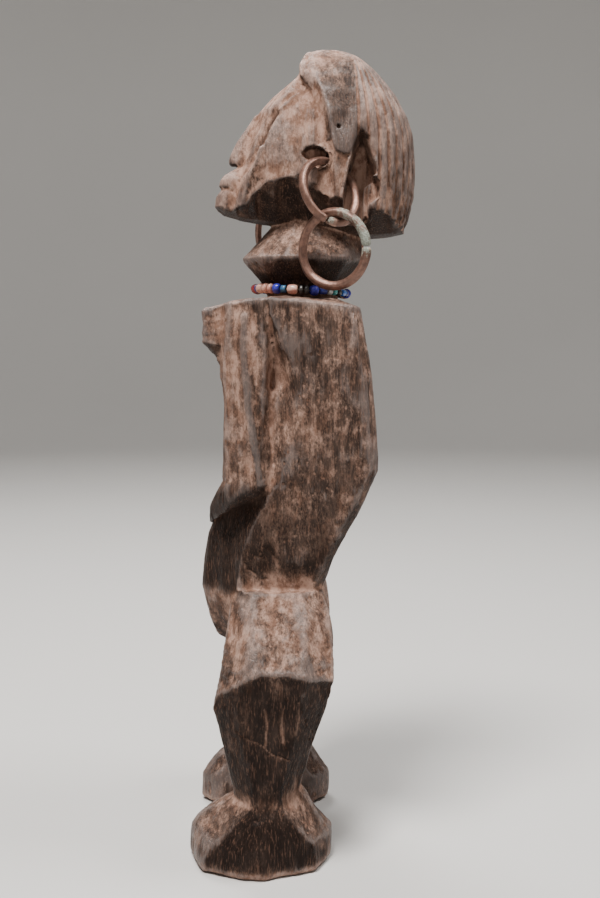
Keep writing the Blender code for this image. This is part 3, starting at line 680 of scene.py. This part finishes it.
def wood_finish(look):
    """Old dark wood with ochre dust in its hollows, a painted grey sheen on its rubbed ridges, and
    painted shade, sooty in places, below and in its hollows.
    """
    material, tree, shader = new_finish("handled_wood")
    dust, wear_and_sheen, shade_and_soot = patina_and_light_values(tree)
    along = grain_places(tree, (1, 1, 0.1))
    fibres = speckle(tree, along, 950, 5, 0.65)
    bands = speckle(tree, along, 240, 5, 0.65, 0.4)
    blotch = speckle(tree, grain_places(tree, (1, 1, 0.7)), 190, 9, 0.72)
    fleck = speckle(tree, grain_places(tree, (1, 1, 0.5)), 1500, 3, 0.65)
    open_grain = speckle(tree, grain_places(tree, (1, 1, 0.16)), 1500, 3, 0.6)
    open_grain = spread_out(tree, open_grain, 0.52, 0.70)

    base = mixed(tree, spread_out(tree, bands, 0.35, 0.66), look.dark_wood, look.mid_wood)
    base = mixed(tree, spread_out(tree, fibres, 0.46, 0.66, 0, 0.5), base, look.deep_wood)
    dusty = uneven(tree, uneven(tree, dust, blotch, 1.7), fleck, 1.3)
    dusty = spread_out(tree, uneven(tree, dusty, fibres, -0.7), 0.02, 1.12)
    earth = mixed(tree, spread_out(tree, blotch, 0.4, 0.62), look.dust, look.pale_dust)
    base = mixed(tree, sums(tree, "MULTIPLY", dusty, look.dust_strength), base, earth)
    # Painted sheen: the rubbed ridges turn grey, less so under painted shade; the same mask lowers the
    # roughness.
    polish_and_sheen = spread_out(tree, uneven(tree, wear_and_sheen, blotch, 1.0), 0.15, 1.5)
    polish_and_sheen = sums(tree, "SUBTRACT", polish_and_sheen, sums(tree, "MULTIPLY", shade_and_soot, 0.5))
    base = mixed(tree, sums(tree, "MULTIPLY", polish_and_sheen, 0.36), base, look.polish_and_sheen)
    # Painted shade, sooty in places: the dark channel, with a little of the grain's bands, turns the
    # wood near black.
    grime = spread_out(tree, sums(tree, "ADD", shade_and_soot, sums(tree, "MULTIPLY", bands, 0.35)), 0.2, 1.0)
    base = mixed(tree, sums(tree, "MULTIPLY", grime, 0.90), base, look.shade_and_soot)
    base = mixed(tree, sums(tree, "MULTIPLY", open_grain, look.grain_dust), base, look.dust)
    tree.links.new(base, shader.inputs["Base Color"])

    rough = spread_out(tree, polish_and_sheen, 0, 1, 0.50, 0.28)
    rough = sums(tree, "ADD", rough, sums(tree, "MULTIPLY", dusty, 0.32))
    tree.links.new(rough, shader.inputs["Roughness"])
    tree.links.new(spread_out(tree, polish_and_sheen, 0, 1, 0.12, 0.5), shader.inputs["Specular IOR Level"])
    cracks = add(tree, "TexVoronoi", {"feature": "DISTANCE_TO_EDGE"}, Vector=along, Scale=230.0)
    cracks = spread_out(tree, cracks.outputs[0], 0.0, 0.05, 0, 0.15)
    relief = sums(tree, "ADD", sums(tree, "MULTIPLY", fibres, 0.6), sums(tree, "MULTIPLY", fleck, 0.6))
    relief = sums(tree, "ADD", relief, cracks)
    raise_surface(tree, shader, relief, look.grain_relief, 0.0008)
    return material


def copper_finish(look):
    """Brown handled copper, rubbed bright on its edges with a painted highlight along its corners, with
    green where it has corroded.
    """
    material, tree, shader = new_finish("old_copper")
    green, bright, _ = patina_and_light_values(tree)
    even = grain_places(tree, (1, 1, 1))
    blotch = speckle(tree, even, 380, 5, 0.7)
    fine = speckle(tree, even, 1900, 4, 0.7)
    base = mixed(tree, spread_out(tree, blotch, 0.3, 0.7), look.copper_dark, look.copper)
    # Rubbed edges, and the painted highlight along the wire's corners.
    base = mixed(tree, spread_out(tree, bright, 0.2, 0.9, 0, 0.8), base, look.copper_bright)
    crust = uneven(tree, uneven(tree, green, blotch, 2.6), fine, 1.0)
    crust = spread_out(tree, crust, 0.35, 0.85)
    salts = mixed(tree, spread_out(tree, fine, 0.35, 0.65), look.verdigris, look.verdigris_pale)
    base = mixed(tree, crust, base, salts)
    tree.links.new(base, shader.inputs["Base Color"])
    tree.links.new(spread_out(tree, crust, 0, 1, 0.55, 0.1), shader.inputs["Metallic"])
    rough = uneven(tree, spread_out(tree, crust, 0, 1, 0.42, 0.8), fine, 0.3)
    tree.links.new(rough, shader.inputs["Roughness"])
    relief = sums(tree, "ADD", sums(tree, "MULTIPLY", fine, 0.5), blotch)
    raise_surface(tree, shader, relief, 0.35, 0.0004)
    return material


def glass_finish(name, tint, streak):
    """Opaque wound glass: streaked, softly glossy and pitted, with dirt in the pits."""
    material, tree, shader = new_finish(name)
    even = grain_places(tree, (1, 1, 1))
    swirl = speckle(tree, even, 420, 3, 0.6, 1.2)
    fine = speckle(tree, even, 2600, 4, 0.7)
    base = mixed(tree, spread_out(tree, swirl, 0.42, 0.62), tint, streak)
    grime = spread_out(tree, fine, 0.58, 0.72)
    base = mixed(tree, sums(tree, "MULTIPLY", grime, 0.6), base, (0.03, 0.02, 0.015))
    tree.links.new(base, shader.inputs["Base Color"])
    tree.links.new(spread_out(tree, fine, 0.4, 0.7, 0.16, 0.5), shader.inputs["Roughness"])
    shader.inputs["Coat Weight"].default_value = 0.35
    shader.inputs["Coat Roughness"].default_value = 0.12
    raise_surface(tree, shader, sums(tree, "ADD", swirl, fine), 0.2, 0.0003)
    return material


def thread_finish(look):
    """Twisted fibre, darkened by handling."""
    material, tree, shader = new_finish("twisted_thread")
    even = grain_places(tree, (1, 1, 1))
    fibre = speckle(tree, even, 3000, 4, 0.7)
    base = mixed(tree, spread_out(tree, fibre, 0.35, 0.65), look.thread_dark, look.thread)
    tree.links.new(base, shader.inputs["Base Color"])
    tree.links.new(spread_out(tree, fibre, 0.3, 0.7, 0.75, 0.95), shader.inputs["Roughness"])
    raise_surface(tree, shader, fibre, 0.4, 0.0002)
    return material


# ---------------------------------------------------------------- the ear rings

def hang_place(top, height, turn_deg, lean_deg, side):
    """Places a ring that hangs with the middle of its wire's top at a point, as the CAD has it: its
    own x runs to the back and its own y up."""
    turn = Matrix.Rotation(math.radians(turn_deg * side), 4, "Z")
    lean = Matrix.Rotation(math.radians(-lean_deg * side), 4, "Y")
    upright = Matrix(((0, 0, 1, 0), (1, 0, 0, 0), (0, 1, 0, 0), (0, 0, 0, 1)))
    return Matrix.Translation(top) @ turn @ lean @ upright @ Matrix.Translation((0, -height / 2, 0))


def bent_wire(name, place, height, width, wire, gap_at_deg, gap_deg, seed, swell):
    """An open ring of hammered wire, with the angle of each point round it and how far each stands
    out at the wire's corners. swell lists (angle, half angle, growth) along it."""
    start, run = gap_at_deg + gap_deg / 2, 360 - gap_deg
    work = hoop(WIRE_SIDES, WIRE_STEPS, run)
    bmesh.ops.holes_fill(work, edges=[edge for edge in work.edges if edge.is_boundary], sides=0)
    ends = [face for face in work.faces if len(face.verts) > 4]
    for amount in (0.12, 0.2, 0.3):
        bmesh.ops.inset_region(work, faces=ends, thickness=amount, depth=0)
    taper = wire / width * 40
    angles, corners = [], []
    for vert in work.verts:
        along = math.degrees(math.atan2(vert.co.y, vert.co.x)) % 360
        if along > run + gap_deg / 2:
            along -= 360
        angle = math.radians(start + along)
        reach = math.hypot(vert.co.x, vert.co.y) - HOOP_REACH
        around = math.atan2(vert.co.z, reach)
        square = 1 + WIRE_SQUARENESS * math.cos(4 * around + 0.6)
        grow = 1 + sum(growth * max(0, 1 - (math.degrees(angle) % 360 - middle) ** 2 / half ** 2)
                       for middle, half, growth in swell)
        dents = hammered(angle, around, seed)
        fat = wire / 2 * math.hypot(reach, vert.co.z) * square * grow * (0.96 + 0.07 * dents)
        end = max(0, min(along, run - along) / taper)
        if end < 1:
            fat *= 0.8 + 0.2 * math.sqrt(1 - (1 - end) ** 2)
        out = Vector((math.sin(angle) / width, math.cos(angle) / height, 0)).normalized()
        centre = Vector((width / 2 * math.sin(angle), height / 2 * math.cos(angle), 0))
        sway = noise.noise(Vector((math.cos(angle) * 0.9, math.sin(angle) * 0.9, seed + 4)))
        centre += out * (0.012 * width * sway)
        vert.co = centre + out * (fat * math.cos(around)) + Vector((0, 0, fat * math.sin(around)))
        angles.append(angle)
        corners.append(square - 1)
    bmesh.ops.transform(work, matrix=place, verts=work.verts)
    outward(work)
    piece = new_piece(name, keep_mesh(name, work))
    piece.data.shade_smooth()
    return piece, np.degrees(np.array(angles)) % 360, np.array(corners)


def hammered(angle, around, seed):
    """How far the hammer has pushed the wire in or out."""
    broad = noise.noise(Vector((math.cos(angle) * 3.1, math.sin(angle) * 3.1, seed)))
    small = Vector((angle * 5, math.cos(around) * 1.3, math.sin(around) * 1.3 + seed))
    return broad + 0.6 * noise.noise(small)


def paint_ring(piece, angles, corners, green_at, bright_at):
    """Writes where a ring is corroded, where it is rubbed bright, and a painted highlight along the
    corners of its wire. Each list has (angle, half angle, strength)."""
    def laid(places):
        total = np.zeros(len(angles))
        for middle, half, strength in places:
            away = np.abs((angles - middle + 180) % 360 - 180)
            total += strength * (1 - rise(away, half * 0.6, half))
        return total
    # The corners of the wire get a painted highlight; the listed places are rubbed bright.
    write_patina_and_light(piece.data, laid(green_at), laid(bright_at) + 6 * np.clip(corners, 0, 1))


# ---------------------------------------------------------------- settings

class CarvingSettings(bpy.types.PropertyGroup):
    """Sizes and colours of the wood."""
    voxel: length("Mesh size", "Size of the remeshed faces before thinning", 0.0006)
    marks: share("Tool marks", "Strength of the adze and knife marks", 0.55, 3.0)
    triangles: bpy.props.IntProperty(name="Triangles", description="Most triangles in the wood's mesh",
                                     default=188000, min=1000)
    dark_wood: colour("Dark wood", "Main colour of the wood", (0.030, 0.0185, 0.0145))
    mid_wood: colour("Mid wood", "Lighter bands of the grain", (0.088, 0.058, 0.046))
    deep_wood: colour("Deep wood", "Dark fibres of the grain", (0.0085, 0.005, 0.0035))
    dust: colour("Dust", "Earth rubbed into the wood", (0.235, 0.125, 0.085))
    pale_dust: colour("Pale dust", "Dry earth on the surface", (0.470, 0.300, 0.230))
    polish_and_sheen: colour("Polish", "Grey sheen of handled ridges", (0.300, 0.240, 0.222))
    # Colour of the painted shade on undersides, hollows and shaded planes, sooty in places.
    shade_and_soot: colour("Soot", "Dark of the undersides", (0.0075, 0.0035, 0.0022))
    dust_strength: share("Dust strength", "How much the dust covers", 0.88)
    grain_dust: share("Grain dust", "How much dust shows in the open grain", 0.34)
    grain_relief: share("Grain relief", "Depth of the fine grain", 0.75)


class RingSettings(bpy.types.PropertyGroup):
    """Sizes and colours of the ear rings."""
    left_height: length("Left ring height", "Height of the left ring at mid wire", 0.0298)
    left_width: length("Left ring width", "Width of the left ring at mid wire", 0.0250)
    left_wire: length("Left ring wire", "Thickness of the left ring's wire", 0.0038)
    link_height: length("Linked ring height", "Height of the linked ring at mid wire", 0.0312)
    link_width: length("Linked ring width", "Width of the linked ring at mid wire", 0.0294)
    link_wire: length("Linked ring wire", "Thickness of the linked ring's wire", 0.0040)
    right_height: length("Right ring height", "Height of the right ring at mid wire", 0.0536)
    right_width: length("Right ring width", "Width of the right ring at mid wire", 0.0500)
    right_wire: length("Right ring wire", "Thickness of the right ring's wire", 0.0032)
    copper: colour("Copper", "Brown face of the copper", (0.225, 0.118, 0.085))
    copper_dark: colour("Dark copper", "Tarnish", (0.090, 0.048, 0.037))
    # Colour of the rubbed edges and of the painted highlight on the wire's corners.
    copper_bright: colour("Bright copper", "Rubbed edges", (0.55, 0.36, 0.28))
    verdigris: colour("Verdigris", "Green crust", (0.120, 0.125, 0.100))
    verdigris_pale: colour("Pale verdigris", "Dry green crust", (0.320, 0.350, 0.300))


class BeadSettings(bpy.types.PropertyGroup):
    """Colours of the beads and their thread. Each bead keeps its CAD node's place and size."""
    red: colour("Red", "Red glass", (0.40, 0.02, 0.02))
    violet: colour("Violet", "Violet glass", (0.10, 0.05, 0.28))
    pink: colour("Pink", "Salmon pink glass", (0.60, 0.27, 0.21))
    cobalt: colour("Cobalt", "Ultramarine glass", (0.025, 0.025, 0.33))
    teal: colour("Teal", "Dark blue-green glass", (0.02, 0.08, 0.19))
    black: colour("Black", "Black glass", (0.018, 0.018, 0.02))
    navy: colour("Navy", "Dark blue glass", (0.015, 0.02, 0.20))
    white: colour("White", "White glass", (0.72, 0.72, 0.69))
    turquoise: colour("Turquoise", "Turquoise glass", (0.08, 0.42, 0.42))
    blue: colour("Blue", "Bright blue glass", (0.02, 0.12, 0.55))
    thread: colour("Thread", "Thread through the beads", (0.16, 0.12, 0.08))
    thread_dark: colour("Dark thread", "Hollows of the thread", (0.05, 0.035, 0.025))


class StageSettings(bpy.types.PropertyGroup):
    """The floor, the lights and the camera."""
    floor_reach: length("Floor reach", "From the figure to the bend where the floor turns up", 1.7)
    bend: length("Bend", "Radius of the bend from floor to backdrop", 0.8)
    rim_height: length("Backdrop height", "Height of the backdrop", 2.0)
    floor: colour("Floor", "Colour of the floor and backdrop", (0.60, 0.59, 0.575))
    room: colour("Room", "Colour of the light all round", (0.95, 0.93, 0.90))
    room_light: share("Room light", "Strength of the light all round", 0.14, 10.0)
    key_light: bpy.props.FloatProperty(name="Key light", description="Main light", unit="POWER",
                                       default=34.0, min=0.0)
    side_light: bpy.props.FloatProperty(name="Side light", description="Each light behind and beyond",
                                        unit="POWER", default=9.0, min=0.0)
    camera_away: length("Camera distance", "From the middle plane to the camera", EYE_AWAY * UNIT)
    camera_height: length("Camera height", "Height of the camera", EYE_HEIGHT * UNIT)


# ---------------------------------------------------------------- operators

class FIGURE_OT_wood(bpy.types.Operator):
    """Carve the wood round its CAD solid"""
    bl_idname = "figure.wood"
    bl_label = "Wood"

    def execute(self, context):
        look = context.scene.figure_carving
        piece = carved_wood(look.voxel, look.marks, look.triangles)
        paint_wood(piece)
        piece.data.materials.clear()
        piece.data.materials.append(wood_finish(look))
        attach(piece, "root")
        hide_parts("figure")
        return {"FINISHED"}


class FIGURE_OT_rings(bpy.types.Operator):
    """Bend the three copper rings"""
    bl_idname = "figure.rings"
    bl_label = "Ear rings"

    def execute(self, context):
        look = context.scene.figure_rings
        finish = copper_finish(look)
        (left_top, *left_hang), (right_top, *right_hang) = LEFT_RING_HANG, RIGHT_RING_HANG
        left = hang_place(Vector(left_top) * UNIT, look.left_height, *left_hang, 1)
        foot = left @ Vector((0, -look.left_height / 2, 0))
        clear = (look.left_wire + look.link_wire) / 2 + LINK_SPARE
        link_top = foot + Vector((0, -LINK_FORWARD, clear))
        link = hang_place(link_top, look.link_height, LINK_TURN_DEG, 0, 1)
        right = hang_place(Vector(right_top) * UNIT, look.right_height, *right_hang, -1)
        rings = (
            ("left_ear_wire", left, look.left_height, look.left_width, look.left_wire, 200, 7, 1,
             "left_ear_ring", ((160, 9, 0.12), (185, 6, 0.1)), ((196, 12, 0.5),), ((190, 8, 0.4),)),
            ("left_linked_wire", link, look.link_height, look.link_width, look.link_wire, 88, 3, 2,
             "left_linked_ring", ((70, 20, 0.06),), ((50, 55, 0.55), (86, 26, 0.35)), ((88, 6, 0.8),)),
            ("right_ear_wire", right, look.right_height, look.right_width, look.right_wire, 95, 7, 3,
             "right_ear_ring", (), ((250, 30, 0.35),), ()),
        )
        for name, place, tall, wide, wire, gap_at, gap, seed, node, swell, green, bright in rings:
            piece, *marks = bent_wire(name, place, tall, wide, wire, gap_at, gap, seed, swell)
            paint_ring(piece, *marks, green, bright)
            piece.data.materials.append(finish)
            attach(piece, "root")
            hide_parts(node)
        return {"FINISHED"}


STREAKS = {"red": (0.24, 0.01, 0.015), "violet": (0.05, 0.03, 0.16), "pink": (0.72, 0.46, 0.36),
           "cobalt": (0.06, 0.06, 0.52), "teal": (0.05, 0.17, 0.30), "black": (0.07, 0.065, 0.06),
           "navy": (0.03, 0.05, 0.34), "white": (0.50, 0.60, 0.60), "turquoise": (0.18, 0.60, 0.58),
           "blue": (0.06, 0.26, 0.75)}

# Outlines of the beads from the bore at one end to the middle: (share of half length, share of radius).
BEAD_ROUND = ((1.0, 0.36), (0.99, 0.55), (0.92, 0.74), (0.76, 0.88), (0.5, 0.965), (0.0, 1.0))
BEAD_TUBE = ((1.0, 0.45), (1.0, 0.72), (0.96, 0.88), (0.84, 0.97), (0.5, 1.0), (0.0, 1.0))
BEAD_DISC = ((1.0, 0.36), (1.0, 0.62), (0.9, 0.84), (0.66, 0.96), (0.35, 1.0), (0.0, 1.0))
BEAD_FORMS = {"red": BEAD_ROUND, "violet": BEAD_DISC, "pink": BEAD_ROUND, "cobalt": BEAD_ROUND,
              "teal": BEAD_TUBE, "black": BEAD_DISC, "navy": BEAD_TUBE, "white": BEAD_TUBE,
              "turquoise": BEAD_TUBE, "blue": BEAD_TUBE}


def node_middle(node):
    """The mean of a CAD node's points."""
    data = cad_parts[node].data
    points = {tuple(round(c, 7) for c in v.co) for v in data.vertices}
    return Vector(np.mean(list(points), axis=0))


def glass_bead(number, node, middle, along, up):
    """One bead in the place of its CAD solid."""
    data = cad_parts[node].data
    spots = np.array([v.co - middle for v in data.vertices])
    half = np.abs(spots @ np.array(along)).max()
    beside = spots - np.outer(spots @ np.array(along), along)
    radius = np.linalg.norm(beside, axis=1).max()
    form = BEAD_FORMS[node.rsplit("_", 1)[1]]
    outline = [(x * half, max(r * radius, BEAD_BORE * 1.15)) for x, r in form]
    outline += [(-x, r) for x, r in reversed(outline[:-1])]
    outline += [(-half * 0.9, BEAD_BORE), (half * 0.9, BEAD_BORE)]
    work = bmesh.new()
    points = [work.verts.new((x, 0, r)) for x, r in outline]
    edges = [work.edges.new(pair) for pair in zip(points, points[1:] + points[:1])]
    bmesh.ops.spin(work, geom=points + edges, cent=(0, 0, 0), axis=(1, 0, 0), steps=BEAD_STEPS,
                   angle=2 * math.pi, use_merge=True)
    merged(work, 0.000001)
    for vert in work.verts:
        spot = vert.co / radius
        swell = noise.noise(spot * 1.3 + Vector((number * 3.7, 0, 0)))
        if math.hypot(vert.co.y, vert.co.z) > BEAD_BORE * 1.1:
            vert.co *= 1 + 0.035 * swell - 0.015
            vert.co.x += half * 0.06 * noise.noise(spot * 0.8 + Vector((0, number * 2.3, 5)))
    side = up.cross(along)
    turn = Matrix((along, side, up)).transposed().to_4x4()
    bmesh.ops.transform(work, matrix=Matrix.Translation(middle) @ turn, verts=work.verts)
    bmesh.ops.recalc_face_normals(work, faces=work.faces)
    name = f"glass_bead_{number:02d}"
    piece = new_piece(name, keep_mesh(name, work))
    piece.data.shade_smooth()
    return piece


class FIGURE_OT_beads(bpy.types.Operator):
    """Wind the glass beads and their thread"""
    bl_idname = "figure.beads"
    bl_label = "Beads"

    def execute(self, context):
        look = context.scene.figure_beads
        names = sorted(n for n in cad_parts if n.startswith("bead_") and n != "bead_thread")
        centre = node_middle("bead_thread")
        spots = [node_middle(n) for n in names]
        quarter = len(spots) // 4
        up = (spots[0] - centre).cross(spots[quarter] - centre).normalized()
        finishes = {tint: glass_finish("glass_" + tint, getattr(look, tint), streak)
                    for tint, streak in STREAKS.items()}
        for number, (node, spot) in enumerate(zip(names, spots), 1):
            tint = node.rsplit("_", 1)[1]
            along = up.cross(spot - centre).normalized()
            piece = glass_bead(number, node, spot, along, (spot - centre).normalized())
            piece.data.materials.append(finishes[tint])
            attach(piece, "root")
            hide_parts(node)
        any_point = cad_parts["bead_thread"].data.vertices[0].co
        self.thread(look, centre, up, (any_point - centre).length)
        return {"FINISHED"}

    def thread(self, look, centre, up, radius):
        """A thread of two plies along the middle of the beads."""
        work = hoop(PLY_SIDES, PLY_STEPS, 360)
        merged(work, 0.000001)
        for vert in work.verts:
            angle = math.atan2(vert.co.y, vert.co.x)
            around = math.atan2(vert.co.z, math.hypot(vert.co.x, vert.co.y) - HOOP_REACH)
            thick = THREAD_RADIUS * (0.72 + 0.28 * abs(math.cos(around - angle * PLY_TURNS / 2)))
            reach = radius + thick * math.cos(around)
            lift = thick * math.sin(around)
            vert.co = Vector((reach * math.cos(angle), reach * math.sin(angle), lift))
        turn = up.to_track_quat("Z", "Y").to_matrix().to_4x4()
        bmesh.ops.transform(work, matrix=Matrix.Translation(centre) @ turn, verts=work.verts)
        piece = new_piece("twisted_thread", keep_mesh("twisted_thread", work))
        piece.data.shade_smooth()
        piece.data.materials.append(thread_finish(look))
        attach(piece, "root")
        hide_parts("bead_thread")


def soft_light(name, place, aim, size, power, tint):
    """A square soft light that faces a point."""
    lamp = bpy.data.lights.new(name, "AREA")
    lamp.shape, lamp.size, lamp.energy, lamp.color = "SQUARE", size, power, tint
    thing = bpy.data.objects.new(name, lamp)
    thing.location = place
    thing.rotation_euler = (Vector(aim) - Vector(place)).to_track_quat("-Z", "Y").to_euler()
    bpy.context.scene.collection.objects.link(thing)


class FIGURE_OT_stage(bpy.types.Operator):
    """Lay the pale floor, set the lights and place the camera"""
    bl_idname = "figure.stage"
    bl_label = "Stage"

    def execute(self, context):
        look = context.scene.figure_stage
        work = bmesh.new()
        flat, bend, top = look.floor_reach, look.bend, look.rim_height
        profile = [(0.0, 0.0), (flat, 0.0)]
        profile += [(flat + bend * math.sin(angle), bend - bend * math.cos(angle))
                    for angle in (math.pi / 2 * step / 12 for step in range(1, 13))]
        points = [work.verts.new((x, 0, z)) for x, z in profile + [(flat + bend, top)]]
        edges = [work.edges.new(pair) for pair in zip(points, points[1:])]
        bmesh.ops.spin(work, geom=points + edges, cent=(0, 0, 0), axis=(0, 0, 1), steps=96,
                       angle=2 * math.pi, use_merge=True)
        bmesh.ops.remove_doubles(work, verts=work.verts, dist=0.00001)
        bmesh.ops.recalc_face_normals(work, faces=work.faces)
        floor = new_piece("floor", keep_mesh("floor", work))
        floor.data.shade_smooth()
        material, tree, shader = new_finish("pale_floor")
        even = grain_places(tree, (1, 1, 1))
        dapple = speckle(tree, even, 3, 3, 0.5)
        tone = mixed(tree, spread_out(tree, dapple, 0.3, 0.7, 0, 0.25), look.floor,
                     tuple(c * 0.93 for c in look.floor))
        tree.links.new(tone, shader.inputs["Base Color"])
        shader.inputs["Roughness"].default_value = 0.75
        floor.data.materials.append(material)

        world = bpy.data.worlds.new("room")
        world.use_nodes = True
        back = world.node_tree.nodes["Background"]
        back.inputs["Color"].default_value = (*look.room, 1)
        back.inputs["Strength"].default_value = look.room_light
        context.scene.world = world
        powers = (look.key_light, look.side_light, look.side_light)
        for (name, place, aim, tint), power in zip(LIGHTS, powers):
            soft_light(name, place, aim, LIGHT_SIZE, power, tint)

        eye = bpy.data.cameras.new("photo_camera")
        eye.lens = eye.sensor_width * EYE_AWAY / PHOTO_TALL
        eye.shift_x, eye.shift_y = (shift / PHOTO_TALL for shift in EYE_SHIFT)
        eye.clip_start = 0.01
        stand = bpy.data.objects.new("photo_camera", eye)
        stand.location = (look.camera_away, 0, look.camera_height)
        stand.rotation_euler = (math.pi / 2, 0, math.pi / 2)
        context.scene.collection.objects.link(stand)
        context.scene.camera = stand
        return {"FINISHED"}


class FIGURE_PT_panel(bpy.types.Panel):
    """Lists the figure's operators and settings"""
    bl_label = "Carved Figure"
    bl_space_type = "VIEW_3D"
    bl_region_type = "UI"
    bl_category = "Figure"

    def draw(self, context):
        for operator in OPERATORS:
            self.layout.operator(operator.bl_idname)
        for group in SETTINGS:
            box = self.layout.box()
            values = getattr(context.scene, group)
            for key in values.__annotations__:
                box.prop(values, key)


OPERATORS = (FIGURE_OT_wood, FIGURE_OT_rings, FIGURE_OT_beads, FIGURE_OT_stage)
SETTINGS = {"figure_carving": CarvingSettings, "figure_rings": RingSettings,
            "figure_beads": BeadSettings, "figure_stage": StageSettings}


def register():
    """Adds the settings, operators and panel."""
    for kind in (*SETTINGS.values(), *OPERATORS, FIGURE_PT_panel):
        bpy.utils.register_class(kind)
    for name, kind in SETTINGS.items():
        setattr(bpy.types.Scene, name, bpy.props.PointerProperty(type=kind))


def unregister():
    """Takes them away again."""
    for name in SETTINGS:
        delattr(bpy.types.Scene, name)
    for kind in reversed((*SETTINGS.values(), *OPERATORS, FIGURE_PT_panel)):
        bpy.utils.unregister_class(kind)


def main():
    """Builds the figure and its stage."""
    register()
    bpy.ops.figure.wood()
    bpy.ops.figure.rings()
    bpy.ops.figure.beads()
    bpy.ops.figure.stage()


if __name__ == "__main__":
    main()
